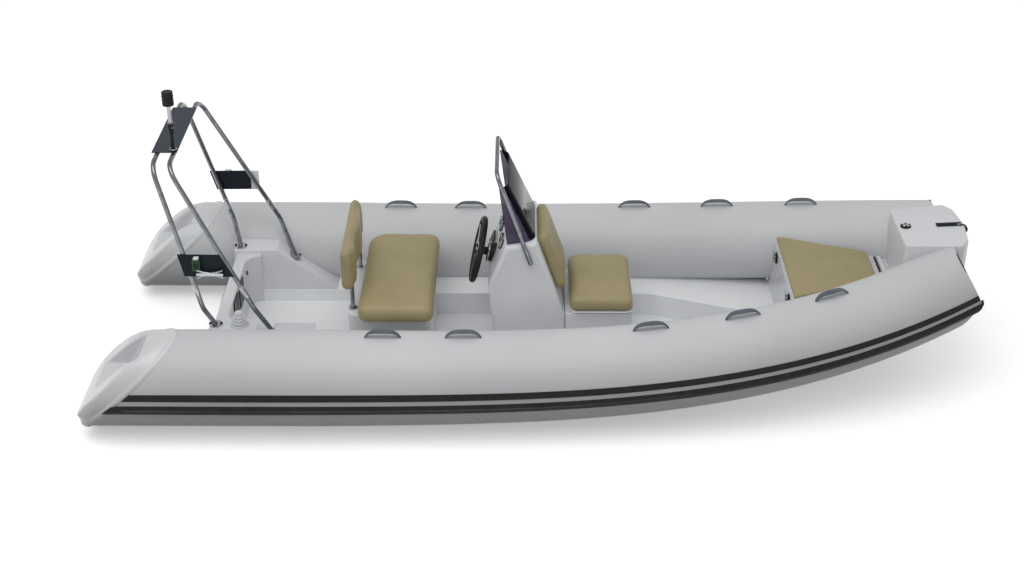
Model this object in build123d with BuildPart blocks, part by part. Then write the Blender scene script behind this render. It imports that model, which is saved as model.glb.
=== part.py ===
from build123d import *
import os
from math import cos, radians, sin, sqrt, tan

# Rigid inflatable boat of about 5 m, in millimetres.
# +X is forward, +Y is port, +Z is up. The origin is on the waterline, on the centreline.

os.makedirs("parts", exist_ok=True)

# ---------------------------------------------------------------- driving sizes
# Tubes: the axis of each is straight aft, then is drawn in and up towards the bow
TUBE_Y = 789            # axis to centreline, aft
TUBE_Z = 292            # axis height, aft
TUBE_R = 268            # radius aft
TUBE_R_BOW = 228        # radius at the bow
TUBE_PINCH = 583        # how far the axis is drawn in at the bow
TUBE_RISE = 360         # how far the axis rises at the bow
BOW_X = 2470            # station of the forward end of the axis
CURVE_X = -1300         # where the axis starts to curve
TUBE_BLANK_X = -2800    # the blank of a tube starts here, before its ends are cut
PINCH_POWER = 3.6
RISE_POWER = 3.0
TUBE_STATIONS = (TUBE_BLANK_X, -2050, -1300, -650, 0, 600, 1150, 1600, 2000, 2330, 2640)
TUBE_CUT_TOP_X = -2028  # where the slanted aft cut meets the crest of the tube
TUBE_CUT_SLOPE = 1.2    # run aft for each millimetre down
TUBE_CUT_END_X = -2545  # the slanted cut stops here, at an upright one
TUBE_FRONT_X = 2436     # forward tip of the tubes
TUBE_FRONT_Z = 608      # and its height
TUBE_FRONT_RAKE = 0.58  # run aft for each millimetre up
TUBE_CHIN_RAKE = 0.5    # run aft for each millimetre down
CAP_TOP_X = -2019       # the round of the caps starts here, above the crest
CAP_BULGE = (-2386, 390)
CAP_TIP = (-2597, 86)
CAP_HEEL_X = -2550
CAP_SPARE = 20          # the blank of a cap stands this far over and under the tube
CAP_ROUND = 240         # of its corners, seen from above
SCOOP_FLOOR_Z = 300
SCOOP_X = (-2335, -2222)  # back wall of the scoop, at its floor and at its top
SCOOP_TOP_Z = 492
SCOOP_WIDTH = 250

# Bands along the outside of each tube: angles above (+) or below (-) the axis
BANDS = {
    # name: (upper angle, lower angle, how far it stands out)
    "stripe": (12.0, 3.6, 5),
    "strake": (-3.0, -13.0, 20),
}
STRAKE_RIDGE = 6
STRAKE_TIP = 14         # the strakes run this far past the front of the tubes

# Grab handles: stations along each tube
HANDLE_STATIONS = (-906, -465, 564, 1073, 1573)
HANDLE_LENGTH = 196
HANDLE_RISE = 40
HANDLE_WIDTH = 36
HANDLE_STRAP = 9
HANDLE_SINK = 3         # feet start this far inside the skin and are trimmed to it

# Hull
TRANSOM_X = -1902       # aft face of the transom
TRANSOM_THICKNESS = 70
TRANSOM_TOP = 425
TRANSOM_CORNER = 85     # radius of the well's corners against the transom
KEEL_Z = -150
KEEL_RISE = 520         # the keel sweeps up this far to the stem
HULL_HALF = 600         # half width at the chine, aft
HULL_HALF_BOW = 55
CHINE_Z = 20            # top of the hull at the chine, aft
CHINE_RISE = 390
CHINE_SIDE = 0.16       # upright side of the hull, as a share of its half width
HULL_CURVE_X = 200      # the hull starts to narrow here
HULL_BOW_X = 2395
HULL_STATIONS = (TRANSOM_X, -1100, -300, 400, 1000, 1500, 1900, 2200, HULL_BOW_X)

# Deck moulding
LOCKER_AFT_X = 1400     # aft face of the bow locker
BOW_FLOOR_Z = 105
BOW_FLOOR_SLOPE = 0.125
LOCKER_FLOOR_SLOPE = 0.26
RIM_HALF = 600
RIM_DEPTH = 60
SOLE_Z = 35             # floor of the footwell
SHELF_Z = 185           # side shelves against the tubes
WELL_Z = 105            # floor of the aft well
DECK_STATIONS = (TRANSOM_X, HULL_CURVE_X, 600, 1000, 1350, LOCKER_AFT_X)
FOOTWELL_HALF = 345
FOOTWELL_AFT_X = -1150
FOOTWELL_TAPER_X = 640
FOOTWELL_TIP_X = 1390
FOOTWELL_TIP_HALF = 70
SUMP_X = (-1650, -1395)
SUMP_HALF = 115
SUMP_DEPTH = 45

# Stern wings, which carry the arch and close the aft well
WING_TOP = 445
WING_INNER = 416
WING_AFT_X = -1915
WING_FLAT_X = -1650     # the flat top ends here
WING_TOE_X = -1287      # and the slope meets the side shelf here
WING_FLOOR_HALF = 385

# Helm seat
SEAT_BOX_X = (-1150, -668)
SEAT_BOX_HALF = 330
SEAT_BOX_TOP = 428
SEAT_LID = 16
SEAT_CUSHION_X = (-1085, -640)
SEAT_CUSHION_HALF = 478
SEAT_CUSHION = 92
LID_GAP = 5
BACKREST_HALF = 352
BACKREST_X = -1170      # aft face
BACKREST_Z = (590, 846)
BACKREST_THICKNESS = 78
POST_X = -1122
POST_Y = 250
POST_R = 12.5
POST_FLANGE_R = 26
POST_FLANGE = 6

# Console, and the seat on its forward side
CONSOLE_HALF = 285
CONSOLE_EDGE_RADIUS = 28
CONSOLE_AFT_FOOT_X = -290
CONSOLE_AFT_X, CONSOLE_AFT_Z = -339, 592
CONSOLE_DASH_X, CONSOLE_DASH_Z = -238, 843
CONSOLE_TOP_X, CONSOLE_TOP_Z = -60, 872
CONSOLE_FRONT_X = 107
FRONT_SEAT_X = (107, 500)
FRONT_SEAT_HALF = 268
FRONT_SEAT_TOP = 400
FRONT_CUSHION_X = (128, 508)
FRONT_CUSHION_HALF = 293
FRONT_CUSHION = 78
FRONT_BACK_HALF = 222
FRONT_BACK_THICKNESS = 55
FRONT_BACK_LENGTH = 385

# Windscreen and its rail
SCREEN_FOOT_X = -56     # foot of the front panel, on the level of the dash's aft edge
SCREEN_HEAD_X, SCREEN_HEAD_Z = -221, 1203
SCREEN_HALF = 250
SCREEN_SIDE = 200
SCREEN_EDGE = ((-226, 824), (-263, 1119))  # aft edge of a side panel, low and high
SCREEN_THICKNESS = 5
SCREEN_CORNER = 60
RAIL_R = 12.5
RAIL_FOOT = (-92, 302, 745)
RAIL_KNEE = (-285, 274, 1290)
RAIL_BEND = 60

# Steering wheel
WHEEL_X, WHEEL_Z = -398, 681
WHEEL_R = 182
WHEEL_RIM_R = 17
WHEEL_TILT = 13
WHEEL_SPOKES = 3
HUB_R = 34

# Arch
ARCH_R = 14
ARCH_BEND = 95
ARCH_REAR = ((-1880, 470, 445), (-1925, 552, 600), (-2142, 462, 1424))
ARCH_FRONT = ((-1548, 470, 380), (-1638, 556, 600), (-2052, 472, 1424))
ARCH_FOOT_R = 38
ARCH_FOOT = 8
PLATE_Y = 309
PLATE_X = (-2168, -2030)
PLATE_THICKNESS = 5
PANEL_Z = (799, 929)
PANEL_THICKNESS = 5

# All-round light mast
MAST_X, MAST_Y = -2052, -285
MAST_R = 11
MAST_PIVOT_Z = 1580     # lower end of the folding part
MAST_GAP = 5
MAST_KNUCKLE = 30
MAST_KNUCKLE_R = 16
MAST_FLANGE_R = 20
MAST_FLANGE = 9
MAST_TOP = 1712
MAST_LAMP_R = 31
MAST_LAMP = 78

# Bow
LOCKER_TOP = 535
LID_PIVOT_X = 1925
LID_AFT_HALF = 380
LID_FORE_HALF = 180
LOCKER_LID = 14
BOW_PAD = 26
NOSE_X = (2036, 2422)
NOSE_TOP = 834
NOSE_RISE = 20
NOSE_AFT_HALF = 230
NOSE_FORE_HALF = 262
NOSE_CORNER = 66
NOSE_BOW = 22
NOSE_ROUND = 26         # of its upright edges
NOSE_FOOT = ((2036, 254), (2422, 445))  # underside of the nose, kept inside the stem
BAY_AFT_HALF = 330
BAY_FORE_HALF = 150
BAY_DEPTH = 300
SLOT_X = (2262, 2422)
SLOT_HALF = 15
ROLLER_X, ROLLER_Z = 2414, 820
ROLLER_R = 29
ROLLER_HALF = 10
PIN_R = 5
PIN_HALF = 34
EYE_X = 2215
FITTING_X = 2083
FITTING_R = 32

# Fittings at the stern
PAD_Y = 95              # engine clamp pads
PAD_Z = 330
PAD_SIZE = 150
PAD_THICKNESS = 6
DRAIN_Y = 320
DRAIN_R = 13
DRAIN_PROUD = 7
BOOT_X, BOOT_Y = -1745, -470
BOOT_R = 52
BOOT_TOP_R = 24
BOOT_RINGS = 5
BOOT_PITCH = 17


# ---------------------------------------------------------------- shared shapes
def bow_share(x):
    """How far station x lies along the curved part of the tube's axis, 0 to 1 at the bow."""
    return max(0.0, (x - CURVE_X) / (BOW_X - CURVE_X))


def tube_y(x):
    return TUBE_Y - TUBE_PINCH * bow_share(x) ** PINCH_POWER


def tube_z(x):
    return TUBE_Z + TUBE_RISE * bow_share(x) ** RISE_POWER


def tube_r(x):
    return TUBE_R + (TUBE_R_BOW - TUBE_R) * bow_share(x)


def tube_plane(x):
    """Plane across the starboard tube at station x: local X points up, local Y inboard or out."""
    step = 1.0
    along = Vector(2 * step, tube_y(x - step) - tube_y(x + step), tube_z(x + step) - tube_z(x - step))
    along = along.normalized()
    up = (Vector(0, 0, 1) - along * along.Z).normalized()
    return Plane(origin=(x, -tube_y(x), tube_z(x)), x_dir=up, z_dir=along)


def crest_plane(x, side):
    """Plane on the crest of a tube, local X along it and local Z up; side is 1 port, -1 starboard."""
    step = 1.0
    rise = (tube_z(x + step) + tube_r(x + step)) - (tube_z(x - step) + tube_r(x - step))
    along = Vector(2 * step, side * (tube_y(x + step) - tube_y(x - step)), rise).normalized()
    up = (Vector(0, 0, 1) - along * along.Z).normalized()
    return Plane(origin=(x, side * tube_y(x), tube_z(x) + tube_r(x)), x_dir=along, z_dir=up)


def bend_points(before, corner, after, radius):
    """Start, middle and end of the arc that rounds one corner of a bent pipe."""
    corner = Vector(*corner)
    to_before = (Vector(*before) - corner).normalized()
    to_after = (Vector(*after) - corner).normalized()
    half = to_before.get_angle(to_after) / 2
    reach = radius / tan(radians(half))
    middle = (to_before + to_after).normalized()
    centre = corner + middle * (radius / sin(radians(half)))
    return corner + to_before * reach, centre - middle * radius, corner + to_after * reach


def bent_path(points, radius):
    """Line of straight runs joined by arcs, through the points, for pipes and rails."""
    with BuildLine() as path:
        start = Vector(*points[0])
        for before, corner, after in zip(points, points[1:], points[2:]):
            first, middle, last = bend_points(before, corner, after, radius)
            Line(start, first)
            ThreePointArc(first, middle, last)
            start = last
        Line(start, Vector(*points[-1]))
    return path


# ---------------------------------------------------------------- tubes
with BuildPart() as tube_blank:
    for station in TUBE_STATIONS:
        with BuildSketch(tube_plane(station)):
            Circle(tube_r(station))
    loft()

SLANT = Plane(
    origin=(TUBE_CUT_TOP_X, 0, TUBE_Z + TUBE_R),
    x_dir=(0, 1, 0),
    z_dir=(1, 0, -TUBE_CUT_SLOPE),
)
CUT_END = Plane(origin=(TUBE_CUT_END_X, 0, 0), x_dir=(0, 1, 0), z_dir=(1, 0, 0))
FRONT = Plane(
    origin=(TUBE_FRONT_X, 0, TUBE_FRONT_Z),
    x_dir=(0, 1, 0),
    z_dir=(1, 0, TUBE_FRONT_RAKE),
)
CHIN = Plane(
    origin=(TUBE_FRONT_X, 0, TUBE_FRONT_Z),
    x_dir=(0, 1, 0),
    z_dir=(1, 0, -TUBE_CHIN_RAKE),
)

with BuildPart() as tube_starboard:
    add(tube_blank.part)
    split(bisect_by=SLANT, keep=Keep.TOP)
    split(bisect_by=CUT_END, keep=Keep.TOP)
    split(bisect_by=FRONT, keep=Keep.BOTTOM)
    split(bisect_by=CHIN, keep=Keep.BOTTOM)
    split(bisect_by=Plane.XZ, keep=Keep.TOP)
tube_starboard.part.label = "tube_starboard"
export_step(tube_starboard.part, "parts/tube_starboard.step")

with BuildPart() as tube_port:
    mirror(tube_starboard.part, about=Plane.XZ)
tube_port.part.label = "tube_port"
export_step(tube_port.part, "parts/tube_port.step")

# Caps close the slanted aft ends: a rounded block of the same tube, with a scoop let into it
TUBE_TOP_Z = TUBE_Z + TUBE_R
CUT_END_Z = TUBE_TOP_Z - (TUBE_CUT_TOP_X - TUBE_CUT_END_X) / TUBE_CUT_SLOPE
CAP_TOP = (CAP_TOP_X, TUBE_TOP_Z + CAP_SPARE)
CAP_HEEL = (CAP_HEEL_X, TUBE_Z - TUBE_R - CAP_SPARE)
CAP_KNEE = ((CAP_TIP[0] + CAP_HEEL[0]) / 2 - 9, (CAP_TIP[1] + CAP_HEEL[1]) / 2 - 7)
with BuildPart() as caps:
    with BuildSketch(Plane.XZ.offset(TUBE_Y + TUBE_R)):
        with BuildLine():
            Polyline(
                (TUBE_CUT_TOP_X + CAP_SPARE * TUBE_CUT_SLOPE, TUBE_TOP_Z + CAP_SPARE),
                CAP_TOP,
            )
            ThreePointArc(CAP_TOP, CAP_BULGE, CAP_TIP)
            ThreePointArc(CAP_TIP, CAP_KNEE, CAP_HEEL)
            Polyline(
                CAP_HEEL,
                (TUBE_CUT_END_X, CAP_HEEL[1]),
                (TUBE_CUT_END_X, CUT_END_Z),
                (TUBE_CUT_TOP_X + CAP_SPARE * TUBE_CUT_SLOPE, TUBE_TOP_Z + CAP_SPARE),
            )
        make_face()
    extrude(amount=-2 * TUBE_R)
    with BuildSketch(Plane(origin=(CURVE_X, -TUBE_Y, TUBE_Z), x_dir=(0, 1, 0), z_dir=(-1, 0, 0))):
        Circle(TUBE_R)
    extrude(amount=CURVE_X - TUBE_BLANK_X, mode=Mode.INTERSECT)
    # rounded in plan as well
    with BuildSketch(Plane.XY):
        with Locations((CAP_TIP[0] - CAP_SPARE, -TUBE_Y)):
            RectangleRounded(
                4 * TUBE_R,
                2 * TUBE_R + CAP_SPARE,
                CAP_ROUND,
                align=(Align.MIN, Align.CENTER),
            )
    extrude(amount=TUBE_TOP_Z + CAP_SPARE, mode=Mode.INTERSECT)
    with BuildSketch(Plane.XZ.offset(TUBE_Y + SCOOP_WIDTH / 2)):
        with BuildLine():
            Polyline(
                (SCOOP_X[0], SCOOP_FLOOR_Z),
                (SCOOP_X[1], SCOOP_TOP_Z),
                (SCOOP_X[1], TUBE_TOP_Z),
                (TUBE_BLANK_X, TUBE_TOP_Z),
                (TUBE_BLANK_X, SCOOP_FLOOR_Z),
                close=True,
            )
        make_face()
    extrude(amount=-SCOOP_WIDTH, mode=Mode.SUBTRACT)
    mirror(about=Plane.XZ)
caps.part.label = "tube_end_caps"
export_step(caps.part, "parts/tube_end_caps.step")

# Bands: a flat stripe above and a ridged strake below, along the outside of each tube
def band_blank(upper, lower, stand, ridge):
    """Loft of one band on the starboard tube, from inside its skin to the band's outer face."""
    with BuildPart() as blank:
        for station in TUBE_STATIONS:
            inner = tube_r(station) - stand
            outer = tube_r(station) + stand
            middle = (upper + lower) / 2
            corners = [
                (inner, upper),
                (outer - ridge, upper),
                (outer, middle),
                (outer - ridge, lower),
                (inner, lower),
            ]
            points = [(r * sin(radians(a)), r * cos(radians(a))) for r, a in corners]
            with BuildSketch(tube_plane(station)):
                with BuildLine():
                    Polyline(*points, close=True)
                make_face()
        loft()
    return blank.part


with BuildPart() as stripes:
    add(band_blank(*BANDS["stripe"], 0.4))
    split(bisect_by=SLANT, keep=Keep.TOP)
    split(bisect_by=FRONT, keep=Keep.BOTTOM)
    add(tube_starboard.part, mode=Mode.SUBTRACT)
    mirror(about=Plane.XZ)
stripes.part.label = "rub_stripes"
export_step(stripes.part, "parts/rub_stripes.step")

with BuildPart() as strakes:
    add(band_blank(*BANDS["strake"], STRAKE_RIDGE))
    split(bisect_by=SLANT, keep=Keep.TOP)
    split(bisect_by=FRONT.offset(STRAKE_TIP), keep=Keep.BOTTOM)
    split(bisect_by=CHIN.offset(STRAKE_TIP), keep=Keep.BOTTOM)
    add(tube_starboard.part, mode=Mode.SUBTRACT)
    mirror(about=Plane.XZ)
strakes.part.label = "rub_strakes"
export_step(strakes.part, "parts/rub_strakes.step")


# Grab handles: an arched strap on two feet, five on the crest of each tube
def handle(x, side):
    """One strap handle standing on the crest of a tube."""
    half = HANDLE_LENGTH / 2
    with BuildPart(mode=Mode.PRIVATE) as strap:
        with BuildSketch(crest_plane(x, side).offset(-HANDLE_SINK).rotated((90, 0, 0))):
            with BuildLine():
                Line((-half, 0), (-half + 2 * HANDLE_STRAP, 0))
                ThreePointArc(
                    (-half + 2 * HANDLE_STRAP, 0),
                    (0, HANDLE_RISE - HANDLE_STRAP),
                    (half - 2 * HANDLE_STRAP, 0),
                )
                Line((half - 2 * HANDLE_STRAP, 0), (half, 0))
                ThreePointArc((half, 0), (0, HANDLE_RISE), (-half, 0))
            make_face()
        extrude(amount=HANDLE_WIDTH / 2, both=True)
    return strap.part


with BuildPart() as handles:
    for station in HANDLE_STATIONS:
        add(handle(station, 1))
        add(handle(station, -1))
    add(tube_starboard.part, mode=Mode.SUBTRACT)
    add(tube_port.part, mode=Mode.SUBTRACT)
handles.part.label = "grab_handles"
export_step(handles.part, "parts/grab_handles.step")


# ---------------------------------------------------------------- hull
def hull_share(x):
    """How far station x lies along the part of the hull that narrows, 0 to 1 at the bow."""
    return max(0.0, (x - HULL_CURVE_X) / (HULL_BOW_X - HULL_CURVE_X))


def keel_z(x):
    return KEEL_Z + KEEL_RISE * hull_share(x) ** 2.6


def hull_half(x):
    return HULL_HALF + (HULL_HALF_BOW - HULL_HALF) * hull_share(x) ** 2.2


def chine_z(x):
    return CHINE_Z + CHINE_RISE * hull_share(x) ** 2.2


FOOTWELL_OUTLINE = (
    (FOOTWELL_AFT_X, -FOOTWELL_HALF),
    (FOOTWELL_TAPER_X, -FOOTWELL_HALF),
    (FOOTWELL_TIP_X, -FOOTWELL_TIP_HALF),
    (FOOTWELL_TIP_X, FOOTWELL_TIP_HALF),
    (FOOTWELL_TAPER_X, FOOTWELL_HALF),
    (FOOTWELL_AFT_X, FOOTWELL_HALF),
)

with BuildPart() as hull_blank:
    for station in HULL_STATIONS:
        half, top = hull_half(station), chine_z(station)
        with BuildSketch(Plane(origin=(station, 0, 0), x_dir=(0, 1, 0), z_dir=(1, 0, 0))):
            with BuildLine():
                Polyline(
                    (0, keel_z(station)),
                    (half, top - CHINE_SIDE * half),
                    (half, top),
                    (-half, top),
                    (-half, top - CHINE_SIDE * half),
                    close=True,
                )
            make_face()
    loft()
    # room for the pan of the footwell
    with BuildSketch(Plane.XY.offset(CHINE_Z)):
        with BuildLine():
            Polyline(*FOOTWELL_OUTLINE, close=True)
        make_face()
        offset(amount=SOLE_Z - CHINE_Z, kind=Kind.INTERSECTION)
    extrude(amount=SHELF_Z, mode=Mode.SUBTRACT)

with BuildPart() as hull:
    add(hull_blank.part)
    add(tube_starboard.part, mode=Mode.SUBTRACT)
    add(tube_port.part, mode=Mode.SUBTRACT)
hull.part.label = "hull"
export_step(hull.part, "parts/hull.step")


# ---------------------------------------------------------------- deck moulding
# Nothing inside the hull goes below these slanted planes, which follow its chine at the bow
BOW_FLOOR = Plane(
    origin=(LOCKER_AFT_X, 0, BOW_FLOOR_Z),
    x_dir=(0, 1, 0),
    z_dir=(-BOW_FLOOR_SLOPE, 0, 1),
)
LOCKER_FLOOR = Plane(
    origin=(LOCKER_AFT_X, 0, BOW_FLOOR_Z),
    x_dir=(0, 1, 0),
    z_dir=(-LOCKER_FLOOR_SLOPE, 0, 1),
)
with BuildPart() as deck:
    # a slab between the tubes, from inside the hull up to the side shelves
    deck_side = [(x, hull_half(x)) for x in DECK_STATIONS]
    with BuildSketch(Plane.XY.offset(CHINE_Z - 1)):
        with BuildLine():
            Polyline(*deck_side, *[(x, -y) for x, y in reversed(deck_side)], close=True)
        make_face()
    extrude(amount=SHELF_Z - CHINE_Z + 1)
    # its rim reaches out under the tubes
    with BuildSketch(Plane.XY.offset(SHELF_Z)):
        with BuildLine():
            Polyline(
                (TRANSOM_X, -RIM_HALF),
                (LOCKER_AFT_X, -RIM_HALF),
                (LOCKER_AFT_X, RIM_HALF),
                (TRANSOM_X, RIM_HALF),
                close=True,
            )
        make_face()
    extrude(amount=-RIM_DEPTH)
    split(bisect_by=BOW_FLOOR, keep=Keep.TOP)
    with BuildSketch(Plane.XY.offset(SOLE_Z)):
        with BuildLine():
            Polyline(*FOOTWELL_OUTLINE, close=True)
        make_face()
    extrude(amount=SHELF_Z, mode=Mode.SUBTRACT)
    with BuildSketch(Plane.XY.offset(WELL_Z)):
        with Locations((FOOTWELL_AFT_X + 1, 0)):
            Rectangle(
                FOOTWELL_AFT_X - TRANSOM_X + 10,
                2 * WING_FLOOR_HALF,
                align=(Align.MAX, Align.CENTER),
            )
    extrude(amount=SHELF_Z, mode=Mode.SUBTRACT)
    with BuildSketch(Plane.XY.offset(WELL_Z - SUMP_DEPTH)):
        with Locations((sum(SUMP_X) / 2, 0)):
            RectangleRounded(SUMP_X[1] - SUMP_X[0], 2 * SUMP_HALF, 20)
    extrude(amount=SHELF_Z, mode=Mode.SUBTRACT)
    add(hull_blank.part, mode=Mode.SUBTRACT)
    add(tube_starboard.part, mode=Mode.SUBTRACT)
    add(tube_port.part, mode=Mode.SUBTRACT)
deck.part.label = "deck"
export_step(deck.part, "parts/deck.step")

# Stern wings: upright cheeks with a flat top, sloping down forward to the side shelf
with BuildPart() as wing_port:
    with BuildSketch(Plane.XZ.offset(-WING_FLOOR_HALF)):
        with BuildLine():
            Polyline(
                (WING_AFT_X, WELL_Z),
                (WING_AFT_X, WING_TOP),
                (WING_FLAT_X, WING_TOP),
                (WING_TOE_X, SHELF_Z),
                (WING_TOE_X, WELL_Z),
                close=True,
            )
        make_face()
    extrude(amount=-(HULL_HALF - WING_FLOOR_HALF))
    # the inner wall leans outboard from the well floor to the rim
    with BuildSketch(Plane.YZ.offset(WING_AFT_X)):
        with BuildLine():
            Polyline(
                (WING_FLOOR_HALF, WELL_Z),
                (WING_INNER, WING_TOP),
                (WING_FLOOR_HALF, WING_TOP),
                close=True,
            )
        make_face()
    extrude(amount=WING_TOE_X - WING_AFT_X, mode=Mode.SUBTRACT)
    fillet(wing_port.edges().filter_by(Axis.X).sort_by(Axis.Z)[-1], 14)
    add(deck.part, mode=Mode.SUBTRACT)
    add(tube_port.part, mode=Mode.SUBTRACT)
wing_port.part.label = "wing_port"
export_step(wing_port.part, "parts/wing_port.step")

with BuildPart() as wing_starboard:
    mirror(wing_port.part, about=Plane.XZ)
wing_starboard.part.label = "wing_starboard"
export_step(wing_starboard.part, "parts/wing_starboard.step")

# Transom, between the stern wings
with BuildPart() as transom:
    with BuildSketch(Plane.XY.offset(WELL_Z)):
        with Locations((TRANSOM_X, 0)):
            Rectangle(
                TRANSOM_THICKNESS + TRANSOM_CORNER,
                2 * WING_INNER,
                align=(Align.MIN, Align.CENTER),
            )
        with Locations((TRANSOM_X + TRANSOM_THICKNESS, 0)):
            RectangleRounded(
                4 * TRANSOM_CORNER,
                2 * WING_FLOOR_HALF,
                TRANSOM_CORNER,
                align=(Align.MIN, Align.CENTER),
                mode=Mode.SUBTRACT,
            )
    extrude(amount=TRANSOM_TOP - WELL_Z)
    for neighbour in (deck, wing_port, wing_starboard):
        add(neighbour.part, mode=Mode.SUBTRACT)
    fillet(transom.faces().sort_by(Axis.Z)[-1].edges().filter_by(Axis.Y), 12)
transom.part.label = "transom"
export_step(transom.part, "parts/transom.step")

# ---------------------------------------------------------------- helm seat
SEAT_BOX_MID = sum(SEAT_BOX_X) / 2
SEAT_BOX_LENGTH = SEAT_BOX_X[1] - SEAT_BOX_X[0]
SEAT_LID_X = SEAT_CUSHION_X[0] + 12
with BuildPart() as seat_box:
    with BuildSketch(Plane.XY.offset(SOLE_Z)):
        with Locations((SEAT_BOX_MID + 1, 0)):
            RectangleRounded(SEAT_BOX_LENGTH - 2, 2 * SEAT_BOX_HALF, 40)
    extrude(amount=SEAT_BOX_TOP - SOLE_Z)
    with BuildSketch(Plane.XY.offset(SEAT_BOX_TOP)):
        with Locations(((SEAT_LID_X + 40 + SEAT_BOX_X[1] - 30) / 2, 0)):
            RectangleRounded(SEAT_BOX_X[1] - SEAT_LID_X - 70, 2 * (SEAT_BOX_HALF - 30), 30)
    extrude(amount=-(SEAT_BOX_TOP - SOLE_Z - 20), mode=Mode.SUBTRACT)
seat_box.part.label = "helm_seat_box"
export_step(seat_box.part, "parts/helm_seat_box.step")

with BuildPart() as seat_lid:
    with BuildSketch(Plane.XY.offset(SEAT_BOX_TOP + LID_GAP)):
        with Locations(((SEAT_LID_X + SEAT_BOX_X[1]) / 2, 0)):
            RectangleRounded(SEAT_BOX_X[1] - SEAT_LID_X, 2 * SEAT_BOX_HALF, 40)
    extrude(amount=SEAT_LID)
seat_lid.part.label = "helm_seat_lid"
export_step(seat_lid.part, "parts/helm_seat_lid.step")

SEAT_CUSHION_Z = SEAT_BOX_TOP + LID_GAP + SEAT_LID
with BuildPart() as seat_cushion:
    with BuildSketch(Plane.XY.offset(SEAT_CUSHION_Z)):
        with Locations((sum(SEAT_CUSHION_X) / 2, 0)):
            RectangleRounded(SEAT_CUSHION_X[1] - SEAT_CUSHION_X[0], 2 * SEAT_CUSHION_HALF, 50)
    extrude(amount=SEAT_CUSHION)
    fillet(seat_cushion.faces().sort_by(Axis.Z)[-1].edges(), 26)
seat_cushion.part.label = "helm_cushion"
export_step(seat_cushion.part, "parts/helm_cushion.step")

# Backrest, on two posts behind the cushion
BACKREST_MID_X = BACKREST_X + BACKREST_THICKNESS / 2
with BuildPart() as backrest:
    with BuildSketch(Plane.XZ.offset(-BACKREST_HALF)):
        with Locations((BACKREST_MID_X, sum(BACKREST_Z) / 2)):
            RectangleRounded(BACKREST_THICKNESS, BACKREST_Z[1] - BACKREST_Z[0], 30)
    extrude(amount=2 * BACKREST_HALF)
    fillet(backrest.faces().filter_by(Axis.Y).edges(), 22)
backrest.part.label = "helm_backrest"
export_step(backrest.part, "parts/helm_backrest.step")

with BuildPart() as posts:
    with Locations((POST_X, POST_Y, SEAT_BOX_TOP), (POST_X, -POST_Y, SEAT_BOX_TOP)):
        Cylinder(POST_R, BACKREST_Z[0] - SEAT_BOX_TOP, align=(Align.CENTER, Align.CENTER, Align.MIN))
        Cylinder(POST_FLANGE_R, POST_FLANGE, align=(Align.CENTER, Align.CENTER, Align.MIN))
posts.part.label = "backrest_posts"
export_step(posts.part, "parts/backrest_posts.step")

# ---------------------------------------------------------------- console
CONSOLE_AFT = (
    (CONSOLE_AFT_X, CONSOLE_AFT_Z),
    (CONSOLE_DASH_X, CONSOLE_DASH_Z),
)
with BuildPart() as console:
    with BuildSketch(Plane.XZ.offset(-CONSOLE_HALF)):
        with BuildLine():
            Polyline(
                (CONSOLE_AFT_FOOT_X, SOLE_Z),
                *CONSOLE_AFT,
                (CONSOLE_TOP_X, CONSOLE_TOP_Z),
                (CONSOLE_FRONT_X, FRONT_SEAT_TOP),
                (CONSOLE_FRONT_X, SOLE_Z),
                close=True,
            )
        make_face()
    extrude(amount=2 * CONSOLE_HALF)
    fillet(console.edges().filter_by(Axis.Y, reverse=True).filter_by(Plane.XZ), CONSOLE_EDGE_RADIUS)
console.part.label = "console"
export_step(console.part, "parts/console.step")

with BuildPart() as front_seat_box:
    with BuildSketch(Plane.XY.offset(SOLE_Z)):
        with Locations((sum(FRONT_SEAT_X) / 2 + 1, 0)):
            Rectangle(FRONT_SEAT_X[1] - FRONT_SEAT_X[0] - 2, 2 * FRONT_SEAT_HALF)
    extrude(amount=FRONT_SEAT_TOP - SOLE_Z)
    fillet(front_seat_box.edges().filter_by(Axis.Z).group_by(Axis.X)[-1], 40)
    with BuildSketch(Plane.XY.offset(FRONT_SEAT_TOP)):
        with Locations((sum(FRONT_SEAT_X) / 2 + 10, 0)):
            RectangleRounded(FRONT_SEAT_X[1] - FRONT_SEAT_X[0] - 90, 2 * FRONT_SEAT_HALF - 60, 20)
    extrude(amount=-(FRONT_SEAT_TOP - SOLE_Z - 20), mode=Mode.SUBTRACT)
front_seat_box.part.label = "front_seat_box"
export_step(front_seat_box.part, "parts/front_seat_box.step")

with BuildPart() as front_lid:
    with BuildSketch(Plane.XY.offset(FRONT_SEAT_TOP + LID_GAP)):
        with Locations(((FRONT_CUSHION_X[0] + 6 + FRONT_SEAT_X[1]) / 2, 0)):
            RectangleRounded(FRONT_SEAT_X[1] - FRONT_CUSHION_X[0] - 6, 2 * FRONT_SEAT_HALF, 30)
    extrude(amount=SEAT_LID)
front_lid.part.label = "front_seat_lid"
export_step(front_lid.part, "parts/front_seat_lid.step")

FRONT_CUSHION_Z = FRONT_SEAT_TOP + LID_GAP + SEAT_LID
with BuildPart() as front_cushion:
    with BuildSketch(Plane.XY.offset(FRONT_CUSHION_Z)):
        with Locations((sum(FRONT_CUSHION_X) / 2, 0)):
            RectangleRounded(FRONT_CUSHION_X[1] - FRONT_CUSHION_X[0], 2 * FRONT_CUSHION_HALF, 45)
    extrude(amount=FRONT_CUSHION)
    fillet(front_cushion.faces().sort_by(Axis.Z)[-1].edges(), 24)
front_cushion.part.label = "front_cushion"
export_step(front_cushion.part, "parts/front_cushion.step")

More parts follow.
